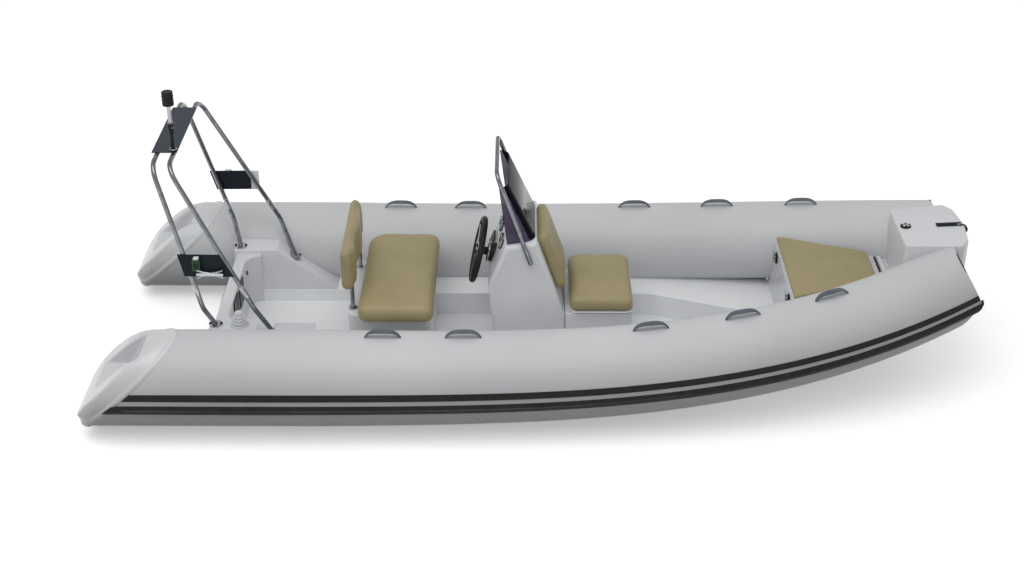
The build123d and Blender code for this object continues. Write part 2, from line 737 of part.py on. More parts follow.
# Backrest pad, lying against the sloping forward face of the console
SLOPE = Vector(CONSOLE_TOP_X - CONSOLE_FRONT_X, 0, CONSOLE_TOP_Z - FRONT_SEAT_TOP).normalized()
FRONT_FACE = Plane(
    origin=(CONSOLE_FRONT_X, 0, FRONT_SEAT_TOP),
    x_dir=(0, 1, 0),
    z_dir=(SLOPE.Z, 0, -SLOPE.X),
)
FRONT_BACK_FOOT = 125
with BuildPart() as front_back:
    with BuildSketch(FRONT_FACE.offset(1)):
        with Locations((0, FRONT_BACK_FOOT + FRONT_BACK_LENGTH / 2)):
            RectangleRounded(2 * FRONT_BACK_HALF, FRONT_BACK_LENGTH, 45)
    extrude(amount=FRONT_BACK_THICKNESS)
    fillet(front_back.faces().sort_by(Axis.X)[-1].edges(), 18)
front_back.part.label = "front_backrest"
export_step(front_back.part, "parts/front_backrest.step")

# Windscreen: one sheet bent round the front and both sides, leaning aft
SCREEN_LEAN = Vector(SCREEN_HEAD_X - SCREEN_FOOT_X, 0, SCREEN_HEAD_Z - CONSOLE_DASH_Z)
SCREEN_AFT_X = SCREEN_FOOT_X - SCREEN_SIDE
with BuildPart() as windscreen:
    with BuildSketch(Plane.XY.offset(CONSOLE_DASH_Z)):
        with BuildLine():
            FilletPolyline(
                (SCREEN_AFT_X, -SCREEN_HALF),
                (SCREEN_FOOT_X, -SCREEN_HALF),
                (SCREEN_FOOT_X, SCREEN_HALF),
                (SCREEN_AFT_X, SCREEN_HALF),
                radius=SCREEN_CORNER,
            )
        trace(line_width=SCREEN_THICKNESS)
    extrude(amount=SCREEN_LEAN.length, dir=SCREEN_LEAN)
    # the side panels taper towards the head
    split(
        bisect_by=Plane(
            origin=(SCREEN_EDGE[0][0], 0, SCREEN_EDGE[0][1]),
            x_dir=(0, 1, 0),
            z_dir=(SCREEN_EDGE[1][1] - SCREEN_EDGE[0][1], 0, SCREEN_EDGE[0][0] - SCREEN_EDGE[1][0]),
        ),
        keep=Keep.TOP,
    )
    add(console.part, mode=Mode.SUBTRACT)
windscreen.part.label = "windscreen"
export_step(windscreen.part, "parts/windscreen.step")

def mirrored_pipe(*points):
    """Points of a pipe that runs up on starboard and down again on port."""
    starboard = [(x, -y, z) for x, y, z in points]
    return starboard + list(reversed(points))


RAIL_PATH = bent_path(mirrored_pipe(RAIL_FOOT, RAIL_KNEE), RAIL_BEND)
with BuildPart() as rail:
    with BuildLine():
        add(RAIL_PATH.line)
    with BuildSketch(Plane(origin=RAIL_PATH.line @ 0, z_dir=RAIL_PATH.line % 0)):
        Circle(RAIL_R)
    sweep()
    # standoffs to the sides of the console
    for side in (1, -1):
        with BuildSketch(Plane.XZ.offset(-side * CONSOLE_HALF)):
            with Locations((RAIL_FOOT[0] - 12, RAIL_FOOT[2] + 30)):
                Circle(RAIL_R - 2)
        extrude(amount=-side * (RAIL_FOOT[1] - CONSOLE_HALF))
    add(console.part, mode=Mode.SUBTRACT)
rail.part.label = "windscreen_rail"
export_step(rail.part, "parts/windscreen_rail.step")


# ---------------------------------------------------------------- helm
WHEEL_AXIS = Vector(-cos(radians(WHEEL_TILT)), 0, sin(radians(WHEEL_TILT)))
WHEEL = Plane(origin=(WHEEL_X, 0, WHEEL_Z), x_dir=(0, 1, 0), z_dir=WHEEL_AXIS)
AFT_SLOPE = Vector(CONSOLE_DASH_X - CONSOLE_AFT_X, 0, CONSOLE_DASH_Z - CONSOLE_AFT_Z).normalized()
AFT_FACE = Plane(
    origin=(CONSOLE_AFT_X, 0, CONSOLE_AFT_Z),
    x_dir=(0, -1, 0),
    z_dir=(-AFT_SLOPE.Z, 0, AFT_SLOPE.X),
)
with BuildPart() as helm_bezel:
    with BuildSketch(WHEEL.offset(-95)):
        Circle(62)
    extrude(amount=40, taper=14)
    with BuildSketch(WHEEL.offset(-55)):
        Circle(24)
    extrude(amount=30)
    add(console.part, mode=Mode.SUBTRACT)
helm_bezel.part.label = "helm_bezel"
export_step(helm_bezel.part, "parts/helm_bezel.step")

SPOKE_WIDTH = 30
SPOKE_THICKNESS = 8
with BuildPart() as wheel:
    with BuildSketch(Plane(origin=(WHEEL_X, 0, WHEEL_Z), x_dir=WHEEL.z_dir, z_dir=WHEEL.x_dir)):
        with Locations((0, WHEEL_R)):
            Circle(WHEEL_RIM_R)
    revolve(axis=Axis((WHEEL_X, 0, WHEEL_Z), WHEEL_AXIS))
    with BuildSketch(WHEEL.offset(-22)):
        Circle(HUB_R)
    extrude(amount=26)
    with BuildSketch(WHEEL.offset(-SPOKE_THICKNESS / 2)):
        with PolarLocations(0, WHEEL_SPOKES, start_angle=90):
            Rectangle(WHEEL_R, SPOKE_WIDTH, align=(Align.MIN, Align.CENTER))
    extrude(amount=SPOKE_THICKNESS)
wheel.part.label = "steering_wheel"
export_step(wheel.part, "parts/steering_wheel.step")

GAUGE_UP = 218
GAUGE_R = 30
with BuildPart() as gauges:
    with BuildSketch(AFT_FACE):
        with Locations((-150, GAUGE_UP), (-70, GAUGE_UP), (70, GAUGE_UP), (150, GAUGE_UP)):
            Circle(GAUGE_R)
    extrude(amount=10)
gauges.part.label = "gauges"
export_step(gauges.part, "parts/gauges.step")

with BuildPart() as switches:
    with BuildSketch(AFT_FACE):
        with Locations((-170, 60)):
            RectangleRounded(120, 90, 10)
    extrude(amount=9)
switches.part.label = "switch_panel"
export_step(switches.part, "parts/switch_panel.step")

# ---------------------------------------------------------------- arch
WING_SLOPE_NORMAL = Vector(WING_TOP - SHELF_Z, 0, WING_TOE_X - WING_FLAT_X).normalized()


def hoop(points):
    """One bent pipe from starboard foot to port foot."""
    path = bent_path(mirrored_pipe(*points), ARCH_BEND)
    with BuildPart() as pipe:
        with BuildLine():
            add(path.line)
        with BuildSketch(Plane(origin=path.line @ 0, z_dir=path.line % 0)):
            Circle(ARCH_R)
        sweep()
    return pipe.part


with BuildPart() as rear_hoop:
    add(hoop(ARCH_REAR))
    add(wing_port.part, mode=Mode.SUBTRACT)
    add(wing_starboard.part, mode=Mode.SUBTRACT)
rear_hoop.part.label = "arch_rear_hoop"
export_step(rear_hoop.part, "parts/arch_rear_hoop.step")

with BuildPart() as front_hoop:
    add(hoop(ARCH_FRONT))
    add(wing_port.part, mode=Mode.SUBTRACT)
    add(wing_starboard.part, mode=Mode.SUBTRACT)
front_hoop.part.label = "arch_front_hoop"
export_step(front_hoop.part, "parts/arch_front_hoop.step")

with BuildPart() as arch_feet:
    for x, y, z in (ARCH_REAR[0], ARCH_FRONT[0]):
        for side in (1, -1):
            slope_normal = (0, 0, 1) if x < WING_FLAT_X else WING_SLOPE_NORMAL
            with BuildSketch(Plane(origin=(x, side * y, z), z_dir=slope_normal)):
                Circle(ARCH_FOOT_R)
            extrude(amount=ARCH_FOOT)
    add(rear_hoop.part, mode=Mode.SUBTRACT)
    add(front_hoop.part, mode=Mode.SUBTRACT)
arch_feet.part.label = "arch_feet"
export_step(arch_feet.part, "parts/arch_feet.step")

ARCH_TOP_Z = ARCH_REAR[2][2] + ARCH_R
with BuildPart() as arch_plate:
    with BuildSketch(Plane.XY.offset(ARCH_TOP_Z)):
        with Locations((sum(PLATE_X) / 2, 0)):
            Rectangle(PLATE_X[1] - PLATE_X[0], 2 * PLATE_Y)
    extrude(amount=PLATE_THICKNESS)
arch_plate.part.label = "arch_top_plate"
export_step(arch_plate.part, "parts/arch_top_plate.step")


def leg_point(leg, z):
    """Where the straight leg of a hoop passes height z, on port."""
    foot, head = Vector(*leg[1]), Vector(*leg[2])
    return foot + (head - foot) * ((z - foot.Z) / (head.Z - foot.Z))


def panel_plane(side):
    """Plane that touches the outboard side of both legs: local X forward, local Y up."""
    low_aft, low_fore = leg_point(ARCH_REAR, PANEL_Z[0]), leg_point(ARCH_FRONT, PANEL_Z[0])
    high_aft = leg_point(ARCH_REAR, PANEL_Z[1])
    forward = (low_fore - low_aft).normalized()
    outward = forward.cross(high_aft - low_aft).normalized()
    outward = outward if outward.Y > 0 else outward * -1
    origin = low_aft + outward * ARCH_R
    flip = Vector(1, side, 1)
    to_side = lambda v: Vector(v.X * flip.X, v.Y * flip.Y, v.Z * flip.Z)
    return Plane(origin=to_side(origin), x_dir=to_side(forward), z_dir=to_side(outward))


PANEL_AFT_LOW = -30     # corners of the panel, along its plane
PANEL_SHIFT = -33       # the top edge is further aft than the bottom one
PANEL_LENGTH = 232
PANEL_HEIGHT = PANEL_Z[1] - PANEL_Z[0]
with BuildPart() as panels:
    for side in (1, -1):
        up = 1 if panel_plane(side).y_dir.Z > 0 else -1
        with BuildSketch(panel_plane(side)):
            with BuildLine():
                Polyline(
                    (PANEL_AFT_LOW, 0),
                    (PANEL_AFT_LOW + PANEL_LENGTH + 42, 0),
                    (PANEL_AFT_LOW + PANEL_LENGTH + PANEL_SHIFT, up * PANEL_HEIGHT),
                    (PANEL_AFT_LOW + PANEL_SHIFT, up * PANEL_HEIGHT),
                    close=True,
                )
            make_face()
        extrude(amount=PANEL_THICKNESS)
    add(rear_hoop.part, mode=Mode.SUBTRACT)
    add(front_hoop.part, mode=Mode.SUBTRACT)
panels.part.label = "arch_side_panels"
export_step(panels.part, "parts/arch_side_panels.step")

LAMP_ALONG = 45         # side lamp, along the panel from its plane's origin
LAMP_UP = 80
LAMP_SIZE = (44, 78, 34)


def side_lamp(side):
    """Box lamp with rounded corners on the outboard face of a panel."""
    plane = panel_plane(side).offset(PANEL_THICKNESS)
    up = 1 if plane.y_dir.Z > 0 else -1
    with BuildPart(mode=Mode.PRIVATE) as lamp:
        with BuildSketch(plane):
            with Locations((LAMP_ALONG, up * LAMP_UP)):
                RectangleRounded(LAMP_SIZE[0], LAMP_SIZE[1], 10)
        extrude(amount=LAMP_SIZE[2])
    return lamp.part


with BuildPart() as light_green:
    add(side_lamp(-1))
light_green.part.label = "nav_light_starboard"
export_step(light_green.part, "parts/nav_light_starboard.step")

with BuildPart() as light_red:
    add(side_lamp(1))
light_red.part.label = "nav_light_port"
export_step(light_red.part, "parts/nav_light_port.step")

# Mooring cleat on the outboard face of each panel: two feet and a bar with tapered horns
CLEAT_ALONG = 118
CLEAT_UP = 26
CLEAT_LENGTH = 150
with BuildPart() as cleats:
    for side in (1, -1):
        plane = panel_plane(side).offset(PANEL_THICKNESS)
        up = 1 if plane.y_dir.Z > 0 else -1
        with BuildSketch(plane):
            with Locations((CLEAT_ALONG - 24, up * CLEAT_UP), (CLEAT_ALONG + 24, up * CLEAT_UP)):
                Circle(13)
        extrude(amount=26)
        with BuildSketch(plane.offset(22)):
            with Locations((CLEAT_ALONG, up * CLEAT_UP)):
                SlotOverall(CLEAT_LENGTH, 17)
        extrude(amount=14)
cleats.part.label = "mooring_cleats"
export_step(cleats.part, "parts/mooring_cleats.step")

# ---------------------------------------------------------------- light mast
MAST_KNUCKLE_LOW = MAST_PIVOT_Z - MAST_GAP - MAST_KNUCKLE
with BuildPart() as mast_base:
    with Locations((MAST_X, MAST_Y, ARCH_TOP_Z + PLATE_THICKNESS)):
        Cylinder(MAST_FLANGE_R, MAST_FLANGE, align=(Align.CENTER, Align.CENTER, Align.MIN))
        Cylinder(
            MAST_R,
            MAST_KNUCKLE_LOW - ARCH_TOP_Z - PLATE_THICKNESS,
            align=(Align.CENTER, Align.CENTER, Align.MIN),
        )
    with Locations((MAST_X, MAST_Y, MAST_KNUCKLE_LOW)):
        Cylinder(MAST_KNUCKLE_R, MAST_KNUCKLE, align=(Align.CENTER, Align.CENTER, Align.MIN))
mast_base.part.label = "mast_base"
export_step(mast_base.part, "parts/mast_base.step")

# The mast folds aft about the lower aft edge of its own knuckle
with BuildPart() as mast:
    with Locations((MAST_X, MAST_Y, MAST_PIVOT_Z)):
        Cylinder(MAST_KNUCKLE_R, MAST_KNUCKLE, align=(Align.CENTER, Align.CENTER, Align.MIN))
        Cylinder(MAST_R, MAST_TOP - MAST_PIVOT_Z, align=(Align.CENTER, Align.CENTER, Align.MIN))
mast.part.label = "light_mast"
export_step(mast.part, "parts/light_mast.step")

with BuildPart() as lamp_top:
    with Locations((MAST_X, MAST_Y, MAST_TOP)):
        Cylinder(MAST_LAMP_R, MAST_LAMP, align=(Align.CENTER, Align.CENTER, Align.MIN))
    fillet(lamp_top.edges().sort_by(Axis.Z)[-1], 6)
lamp_top.part.label = "all_round_light"
export_step(lamp_top.part, "parts/all_round_light.step")

# ---------------------------------------------------------------- bow
LOCKER_STATIONS = (LOCKER_AFT_X, 1600, 1800, NOSE_X[0])
LOCKER_RIM = 60         # it reaches this far outside the hull, under the tubes
locker_side = [(x, hull_half(x) + LOCKER_RIM) for x in LOCKER_STATIONS]
with BuildPart() as locker:
    with BuildSketch(Plane.XY.offset(CHINE_Z)):
        with BuildLine():
            Polyline(*locker_side, *[(x, -y) for x, y in reversed(locker_side)], close=True)
        make_face()
    extrude(amount=LOCKER_TOP - CHINE_Z)
    split(bisect_by=LOCKER_FLOOR, keep=Keep.TOP)
    # the bay under the lid
    with BuildSketch(Plane.XY.offset(LOCKER_TOP)):
        with BuildLine():
            Polyline(
                (LOCKER_AFT_X + 40, -BAY_AFT_HALF),
                (LID_PIVOT_X - 60, -BAY_FORE_HALF),
                (LID_PIVOT_X - 60, BAY_FORE_HALF),
                (LOCKER_AFT_X + 40, BAY_AFT_HALF),
                close=True,
            )
        make_face()
    extrude(amount=-BAY_DEPTH, mode=Mode.SUBTRACT)
    add(hull_blank.part, mode=Mode.SUBTRACT)
    add(tube_starboard.part, mode=Mode.SUBTRACT)
    add(tube_port.part, mode=Mode.SUBTRACT)
locker.part.label = "bow_locker"
export_step(locker.part, "parts/bow_locker.step")

LID_OUTLINE = (
    (LOCKER_AFT_X, -LID_AFT_HALF),
    (LID_PIVOT_X, -LID_FORE_HALF),
    (LID_PIVOT_X, LID_FORE_HALF),
    (LOCKER_AFT_X, LID_AFT_HALF),
)
with BuildPart() as locker_lid:
    with BuildSketch(Plane.XY.offset(LOCKER_TOP + LID_GAP)):
        with BuildLine():
            Polyline(*LID_OUTLINE, close=True)
        make_face()
        offset(amount=-4, kind=Kind.INTERSECTION)
    extrude(amount=LOCKER_LID)
locker_lid.part.label = "bow_locker_lid"
export_step(locker_lid.part, "parts/bow_locker_lid.step")

with BuildPart() as bow_pad:
    with BuildSketch(Plane.XY.offset(LOCKER_TOP + LID_GAP + LOCKER_LID)):
        with BuildLine():
            Polyline(*LID_OUTLINE, close=True)
        make_face()
        offset(amount=-2, kind=Kind.INTERSECTION)
    extrude(amount=BOW_PAD)
    fillet(bow_pad.faces().sort_by(Axis.Z)[-1].edges(), 8)
bow_pad.part.label = "bow_cushion"
export_step(bow_pad.part, "parts/bow_cushion.step")

# Latch: a keeper on the aft face of the locker
LATCH_Y = 250
with BuildPart() as latch:
    with BuildSketch(Plane.YZ.offset(LOCKER_AFT_X)):
        with Locations((LATCH_Y, LOCKER_TOP - 45), (-LATCH_Y, LOCKER_TOP - 45)):
            RectangleRounded(46, 60, 8)
    extrude(amount=-9)
latch.part.label = "locker_latches"
export_step(latch.part, "parts/locker_latches.step")

# Nose moulding between and over the forward ends of the tubes
with BuildPart() as nose:
    with BuildSketch(Plane.XY.offset(CHINE_Z + CHINE_RISE * 0.6)):
        with BuildLine():
            Polyline(
                (NOSE_X[0], -NOSE_AFT_HALF),
                (NOSE_X[1] - NOSE_CORNER, -NOSE_FORE_HALF),
                (NOSE_X[1] - NOSE_BOW, -NOSE_FORE_HALF + NOSE_CORNER),
                (NOSE_X[1], 0),
                (NOSE_X[1] - NOSE_BOW, NOSE_FORE_HALF - NOSE_CORNER),
                (NOSE_X[1] - NOSE_CORNER, NOSE_FORE_HALF),
                (NOSE_X[0], NOSE_AFT_HALF),
                close=True,
            )
        make_face()
    extrude(amount=NOSE_TOP + NOSE_RISE)
    fillet(nose.edges().filter_by(Axis.Z), NOSE_ROUND)
    split(
        bisect_by=Plane(
            origin=(NOSE_X[0], 0, NOSE_TOP),
            x_dir=(0, 1, 0),
            z_dir=(-NOSE_RISE, 0, NOSE_X[1] - NOSE_X[0]),
        ),
        keep=Keep.BOTTOM,
    )
    fillet(nose.faces().sort_by(Axis.Z)[-1].edges(), 12)
    split(
        bisect_by=Plane(
            origin=(NOSE_FOOT[0][0], 0, NOSE_FOOT[0][1]),
            x_dir=(0, 1, 0),
            z_dir=(NOSE_FOOT[0][1] - NOSE_FOOT[1][1], 0, NOSE_FOOT[1][0] - NOSE_FOOT[0][0]),
        ),
        keep=Keep.TOP,
    )
    # slot for the anchor line, open at the front, and the bore for the roller's pin
    with BuildSketch(Plane.XY.offset(NOSE_TOP + 60)):
        with Locations(((SLOT_X[0] + SLOT_X[1]) / 2 + 30, 0)):
            Rectangle(SLOT_X[1] - SLOT_X[0] + 60, 2 * SLOT_HALF)
    extrude(amount=-130, mode=Mode.SUBTRACT)
    with BuildSketch(Plane.XZ.offset(-PIN_HALF)):
        with Locations((ROLLER_X, ROLLER_Z)):
            Circle(PIN_R)
    extrude(amount=2 * PIN_HALF, mode=Mode.SUBTRACT)
    add(hull_blank.part, mode=Mode.SUBTRACT)
    add(tube_starboard.part, mode=Mode.SUBTRACT)
    add(tube_port.part, mode=Mode.SUBTRACT)
nose.part.label = "bow_nose"
export_step(nose.part, "parts/bow_nose.step")

with BuildPart() as roller_pin:
    with BuildSketch(Plane.XZ.offset(-PIN_HALF)):
        with Locations((ROLLER_X, ROLLER_Z)):
            Circle(PIN_R)
    extrude(amount=2 * PIN_HALF)
roller_pin.part.label = "roller_pin"
export_step(roller_pin.part, "parts/roller_pin.step")

with BuildPart() as roller:
    with BuildSketch(Plane(origin=(ROLLER_X, 0, ROLLER_Z), x_dir=(0, 1, 0), z_dir=(1, 0, 0))):
        with BuildLine():
            Polyline(
                (-ROLLER_HALF, PIN_R + 0.4),
                (-ROLLER_HALF, ROLLER_R),
                (0, ROLLER_R - 8),
                (ROLLER_HALF, ROLLER_R),
                (ROLLER_HALF, PIN_R + 0.4),
                close=True,
            )
        make_face()
    revolve(axis=Axis((ROLLER_X, 0, ROLLER_Z), (0, 1, 0)))
roller.part.label = "anchor_roller"
export_step(roller.part, "parts/anchor_roller.step")

FITTING_Z = NOSE_TOP + NOSE_RISE * (FITTING_X - NOSE_X[0]) / (NOSE_X[1] - NOSE_X[0])
with BuildPart() as fitting:
    with BuildSketch(Plane(origin=(FITTING_X, 0, FITTING_Z), z_dir=(-NOSE_RISE, 0, NOSE_X[1] - NOSE_X[0]))):
        Circle(FITTING_R)
    extrude(amount=10, taper=20)
fitting.part.label = "bow_fitting"
export_step(fitting.part, "parts/bow_fitting.step")

# Bow eye: a ring welded to the stem
with BuildPart() as bow_eye:
    with Locations(Plane(origin=(EYE_X, 0, keel_z(EYE_X) - 14), z_dir=(0, 1, 0))):
        Torus(30, 6.5)
    add(hull.part, mode=Mode.SUBTRACT)
    add(nose.part, mode=Mode.SUBTRACT)
bow_eye.part.label = "bow_eye"
export_step(bow_eye.part, "parts/bow_eye.step")

# ---------------------------------------------------------------- transom fittings
TRANSOM_FORE_X = TRANSOM_X + TRANSOM_THICKNESS
with BuildPart() as pads:
    for x, out in ((TRANSOM_FORE_X, 1), (TRANSOM_X, -1)):
        with BuildSketch(Plane.YZ.offset(x)):
            with Locations((PAD_Y, PAD_Z), (-PAD_Y, PAD_Z)):
                RectangleRounded(PAD_SIZE, PAD_SIZE, 14)
        extrude(amount=out * PAD_THICKNESS)
pads.part.label = "engine_pads"
export_step(pads.part, "parts/engine_pads.step")

with BuildPart() as drains:
    with BuildSketch(Plane.YZ.offset(TRANSOM_FORE_X)):
        with Locations((DRAIN_Y, PAD_Z + 10), (DRAIN_Y + 25, PAD_Z - 60)):
            Circle(DRAIN_R)
    extrude(amount=DRAIN_PROUD)
    add(transom.part, mode=Mode.SUBTRACT)
drains.part.label = "transom_fittings"
export_step(drains.part, "parts/transom_fittings.step")

# Ribbed boot for the engine cables on the starboard wing
with BuildPart() as boot:
    for step in range(BOOT_RINGS):
        radius = BOOT_R - (BOOT_R - BOOT_TOP_R) * step / (BOOT_RINGS - 1)
        with Locations((BOOT_X, BOOT_Y, WING_TOP + step * BOOT_PITCH)):
            Cylinder(radius, BOOT_PITCH * 0.6, align=(Align.CENTER, Align.CENTER, Align.MIN))
            Cylinder(radius * 0.72, BOOT_PITCH, align=(Align.CENTER, Align.CENTER, Align.MIN))
boot.part.label = "cable_boot"
export_step(boot.part, "parts/cable_boot.step")
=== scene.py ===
from math import atan2, cos, pi, radians, sin, tan

import bpy
import numpy as np
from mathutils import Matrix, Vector


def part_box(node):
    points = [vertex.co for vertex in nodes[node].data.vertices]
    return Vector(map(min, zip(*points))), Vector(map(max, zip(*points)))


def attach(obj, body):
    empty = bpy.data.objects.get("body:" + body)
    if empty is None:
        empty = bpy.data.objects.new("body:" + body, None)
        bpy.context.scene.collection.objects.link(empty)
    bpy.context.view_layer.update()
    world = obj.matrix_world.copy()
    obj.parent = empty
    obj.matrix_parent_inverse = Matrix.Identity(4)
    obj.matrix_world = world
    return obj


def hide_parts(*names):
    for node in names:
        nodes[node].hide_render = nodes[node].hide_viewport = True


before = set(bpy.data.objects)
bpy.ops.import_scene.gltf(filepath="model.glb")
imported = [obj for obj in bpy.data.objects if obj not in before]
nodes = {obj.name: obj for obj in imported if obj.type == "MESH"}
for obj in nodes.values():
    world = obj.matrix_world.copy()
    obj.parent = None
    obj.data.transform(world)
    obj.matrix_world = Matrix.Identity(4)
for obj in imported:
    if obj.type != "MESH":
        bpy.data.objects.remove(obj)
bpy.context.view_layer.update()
scene = bpy.context.scene


# ---------------------------------------------------------------- materials
class Value:
    """A socket in a material's nodes. Arithmetic on it adds Math nodes."""

    def __init__(self, finish, socket):
        self.finish = finish
        self.socket = socket

    def math(self, operation, *values):
        return self.finish.node("ShaderNodeMath", {"operation": operation}, dict(enumerate(values)))

    def __add__(self, other):
        return self.math("ADD", self, other)

    def __radd__(self, other):
        return self.math("ADD", other, self)


class Finish:
    """One material: a Principled shader and the nodes that feed it."""

    def __init__(self, name, **constants):
        self.material = bpy.data.materials.new(name)
        self.material.use_nodes = True
        self.tree = self.material.node_tree
        self.shader = self.tree.nodes["Principled BSDF"]
        for socket, value in constants.items():
            self.shader.inputs[socket.replace("_", " ")].default_value = value

    def node(self, kind, settings, inputs, output=0):
        """Adds one node: its settings first, then the values or links of its sockets."""
        node = self.tree.nodes.new(kind)
        for key, value in settings.items():
            setattr(node, key, value)
        for key, value in inputs.items():
            self.feed(node.inputs[key], value)
        return Value(self, node.outputs[output])

    def feed(self, socket, value):
        if isinstance(value, Value):
            self.tree.links.new(value.socket, socket)
        else:
            socket.default_value = value

    def vary(self, **inputs):
        """Feeds what changes over the surface to the Principled shader."""
        for key, value in inputs.items():
            self.feed(self.shader.inputs[key.replace("_", " ")], value)

    def place(self):
        return self.node("ShaderNodeTexCoord", {}, {}, "Object")

    def noise(self, scale, detail):
        """Cloudy noise on the object's own coordinates."""
        inputs = {"Vector": self.place(), "Scale": scale, "Detail": detail}
        return self.node("ShaderNodeTexNoise", {}, inputs)

    def spread(self, value, low, high, from_low=0.3, from_high=0.7):
        """The value's middle range, stretched between low and high."""
        return self.node(
            "ShaderNodeMapRange",
            {},
            {0: value, 1: from_low, 2: from_high, 3: low, 4: high},
        )

    def colours(self, share, first, second):
        return self.node(
            "ShaderNodeMix",
            {"data_type": "RGBA"},
            {"Factor": share, "A": (*first, 1.0), "B": (*second, 1.0)},
            "Result",
        )

    def bump(self, height, distance, strength=1.0, after=None):
        inputs = {"Height": height, "Distance": distance, "Strength": strength}
        if after is not None:
            inputs["Normal"] = after
        return self.node("ShaderNodeBump", {}, inputs)


def tube_fabric():
    """Coated fabric of the tubes: a fine weave under a satin coat, with faint broad patches."""
    finish = Finish("tube_fabric", Specular_IOR_Level=0.25)
    cloud = finish.noise(1.6, 4.0)
    weave = finish.node(
        "ShaderNodeTexVoronoi", {"distance": "CHEBYCHEV"}, {"Vector": finish.place(), "Scale": 420.0}
    )
    grain = finish.noise(260.0, 2.0)
    finish.vary(
        Base_Color=finish.colours(finish.spread(cloud, 0.0, 1.0), TUBE_GREY, TUBE_GREY_PALE),
        Roughness=finish.spread(grain, 0.36, 0.5) + finish.spread(cloud, -0.03, 0.03),
        Normal=finish.bump(grain, 0.0006, 0.35, finish.bump(weave, 0.0004, 0.25)),
    )
    return finish.material


def gelcoat(name="gelcoat", colour=(0.70, 0.71, 0.73), deeper=(0.63, 0.64, 0.66)):
    """Gloss outer coat of the mouldings, with a slight ripple and a dulled, mottled surface."""
    finish = Finish(name, Coat_Roughness=0.08, IOR=1.5, Specular_IOR_Level=0.35)
    cloud = finish.noise(2.3, 4.0)
    ripple = finish.noise(9.0, 2.0)
    speck = finish.noise(380.0, 3.0)
    finish.vary(
        Base_Color=finish.colours(finish.spread(cloud, 0.0, 1.0), colour, deeper),
        Roughness=finish.spread(speck, 0.29, 0.35) + finish.spread(cloud, -0.03, 0.04),
        Coat_Weight=finish.spread(cloud, 0.35, 0.2),
        Normal=finish.bump(ripple, 0.0015, 0.25, finish.bump(speck, 0.0001, 0.15)),
    )
    return finish.material


def anti_slip():
    """The sole and the treads: a paler coat than the mouldings', painted light against the shade that
    falls on the sole, rolled into a fine pebbled grain.
    """
    finish = Finish("anti_slip", IOR=1.5)
    cloud = finish.noise(2.0, 4.0)
    pebble = finish.node("ShaderNodeTexVoronoi", {}, {"Vector": finish.place(), "Scale": 260.0})
    finish.vary(
        Base_Color=finish.colours(finish.spread(cloud, 0.0, 1.0), TREAD_BRIGHTENED_PALE, TREAD_BRIGHTENED_DEEP),
        Roughness=finish.spread(cloud, 0.5, 0.62),
        Normal=finish.bump(pebble, 0.0008, 0.5),
    )
    return finish.material


def seat_vinyl():
    """Khaki vinyl with a fine leather grain and soft wear on the broad faces."""
    finish = Finish("seat_vinyl", IOR=1.48)
    cloud = finish.noise(5.0, 4.0)
    grain = finish.node(
        "ShaderNodeTexVoronoi", {"feature": "SMOOTH_F1"}, {"Vector": finish.place(), "Scale": 520.0}
    )
    crease = finish.noise(60.0, 4.0)
    finish.vary(
        Base_Color=finish.colours(finish.spread(cloud, 0.0, 1.0), VINYL, VINYL_DEEP),
        Roughness=finish.spread(crease, 0.42, 0.56),
        Normal=finish.bump(grain, 0.0006, 0.4, finish.bump(crease, 0.0008, 0.25)),
    )
    return finish.material


def polished_steel(name, colour, deeper):
    """Polished stainless tube with faint lengthwise smears."""
    finish = Finish(name)
    smear = finish.noise(30.0, 3.0)
    finish.vary(
        Base_Color=finish.colours(finish.spread(smear, 0.0, 1.0), colour, deeper),
        Metallic=finish.spread(smear, 0.98, 1.0),
        Roughness=finish.spread(smear, 0.10, 0.2),
    )
    return finish.material


def rubber(name, colour, lighter, rough=0.55):
    """Moulded rubber: dark, with dusty patches and a fine grain."""
    finish = Finish(name, IOR=1.5, Specular_IOR_Level=0.15)
    dust = finish.noise(14.0, 4.0)
    grain = finish.noise(320.0, 2.0)
    finish.vary(
        Base_Color=finish.colours(finish.spread(dust, 0.0, 1.0), colour, lighter),
        Roughness=finish.spread(dust, rough - 0.06, rough + 0.08),
        Normal=finish.bump(grain, 0.0004, 0.4),
    )
    return finish.material


def tinted_acrylic(name, colour, deeper, cover, shine):
    """Smoked sheet: dark and glossy, and some light shows through it, violet."""
    finish = Finish(name, IOR=1.49, Specular_IOR_Level=shine)
    haze = finish.noise(6.0, 3.0)
    finish.vary(
        Base_Color=finish.colours(finish.spread(haze, 0.0, 1.0), colour, deeper),
        Roughness=finish.spread(haze, 0.05, 0.10),
        Alpha=finish.spread(haze, cover, cover + 0.05),
    )
    return finish.material


def lens(name, colour, deeper):
    """Moulded lamp lens, ribbed on the inside."""
    finish = Finish(name, IOR=1.49)
    ribs = finish.node(
        "ShaderNodeTexWave", {"bands_direction": "Z"}, {"Vector": finish.place(), "Scale": 60.0}
    )
    finish.vary(
        Base_Color=finish.colours(ribs, colour, deeper),
        Roughness=finish.spread(ribs, 0.12, 0.25, 0.0, 1.0),
        Normal=finish.bump(ribs, 0.0005, 0.4),
    )
    return finish.material


TUBE_GREY = (0.545, 0.555, 0.57)
TUBE_GREY_PALE = (0.59, 0.60, 0.615)
VINYL = (0.355, 0.298, 0.155)
VINYL_DEEP = (0.315, 0.262, 0.133)
# The tread's colours are paler than the gelcoat's: painted light, to lift the shade on the sole between
# the tubes and seats
TREAD_BRIGHTENED_PALE = (0.86, 0.87, 0.885)
TREAD_BRIGHTENED_DEEP = (0.79, 0.80, 0.815)

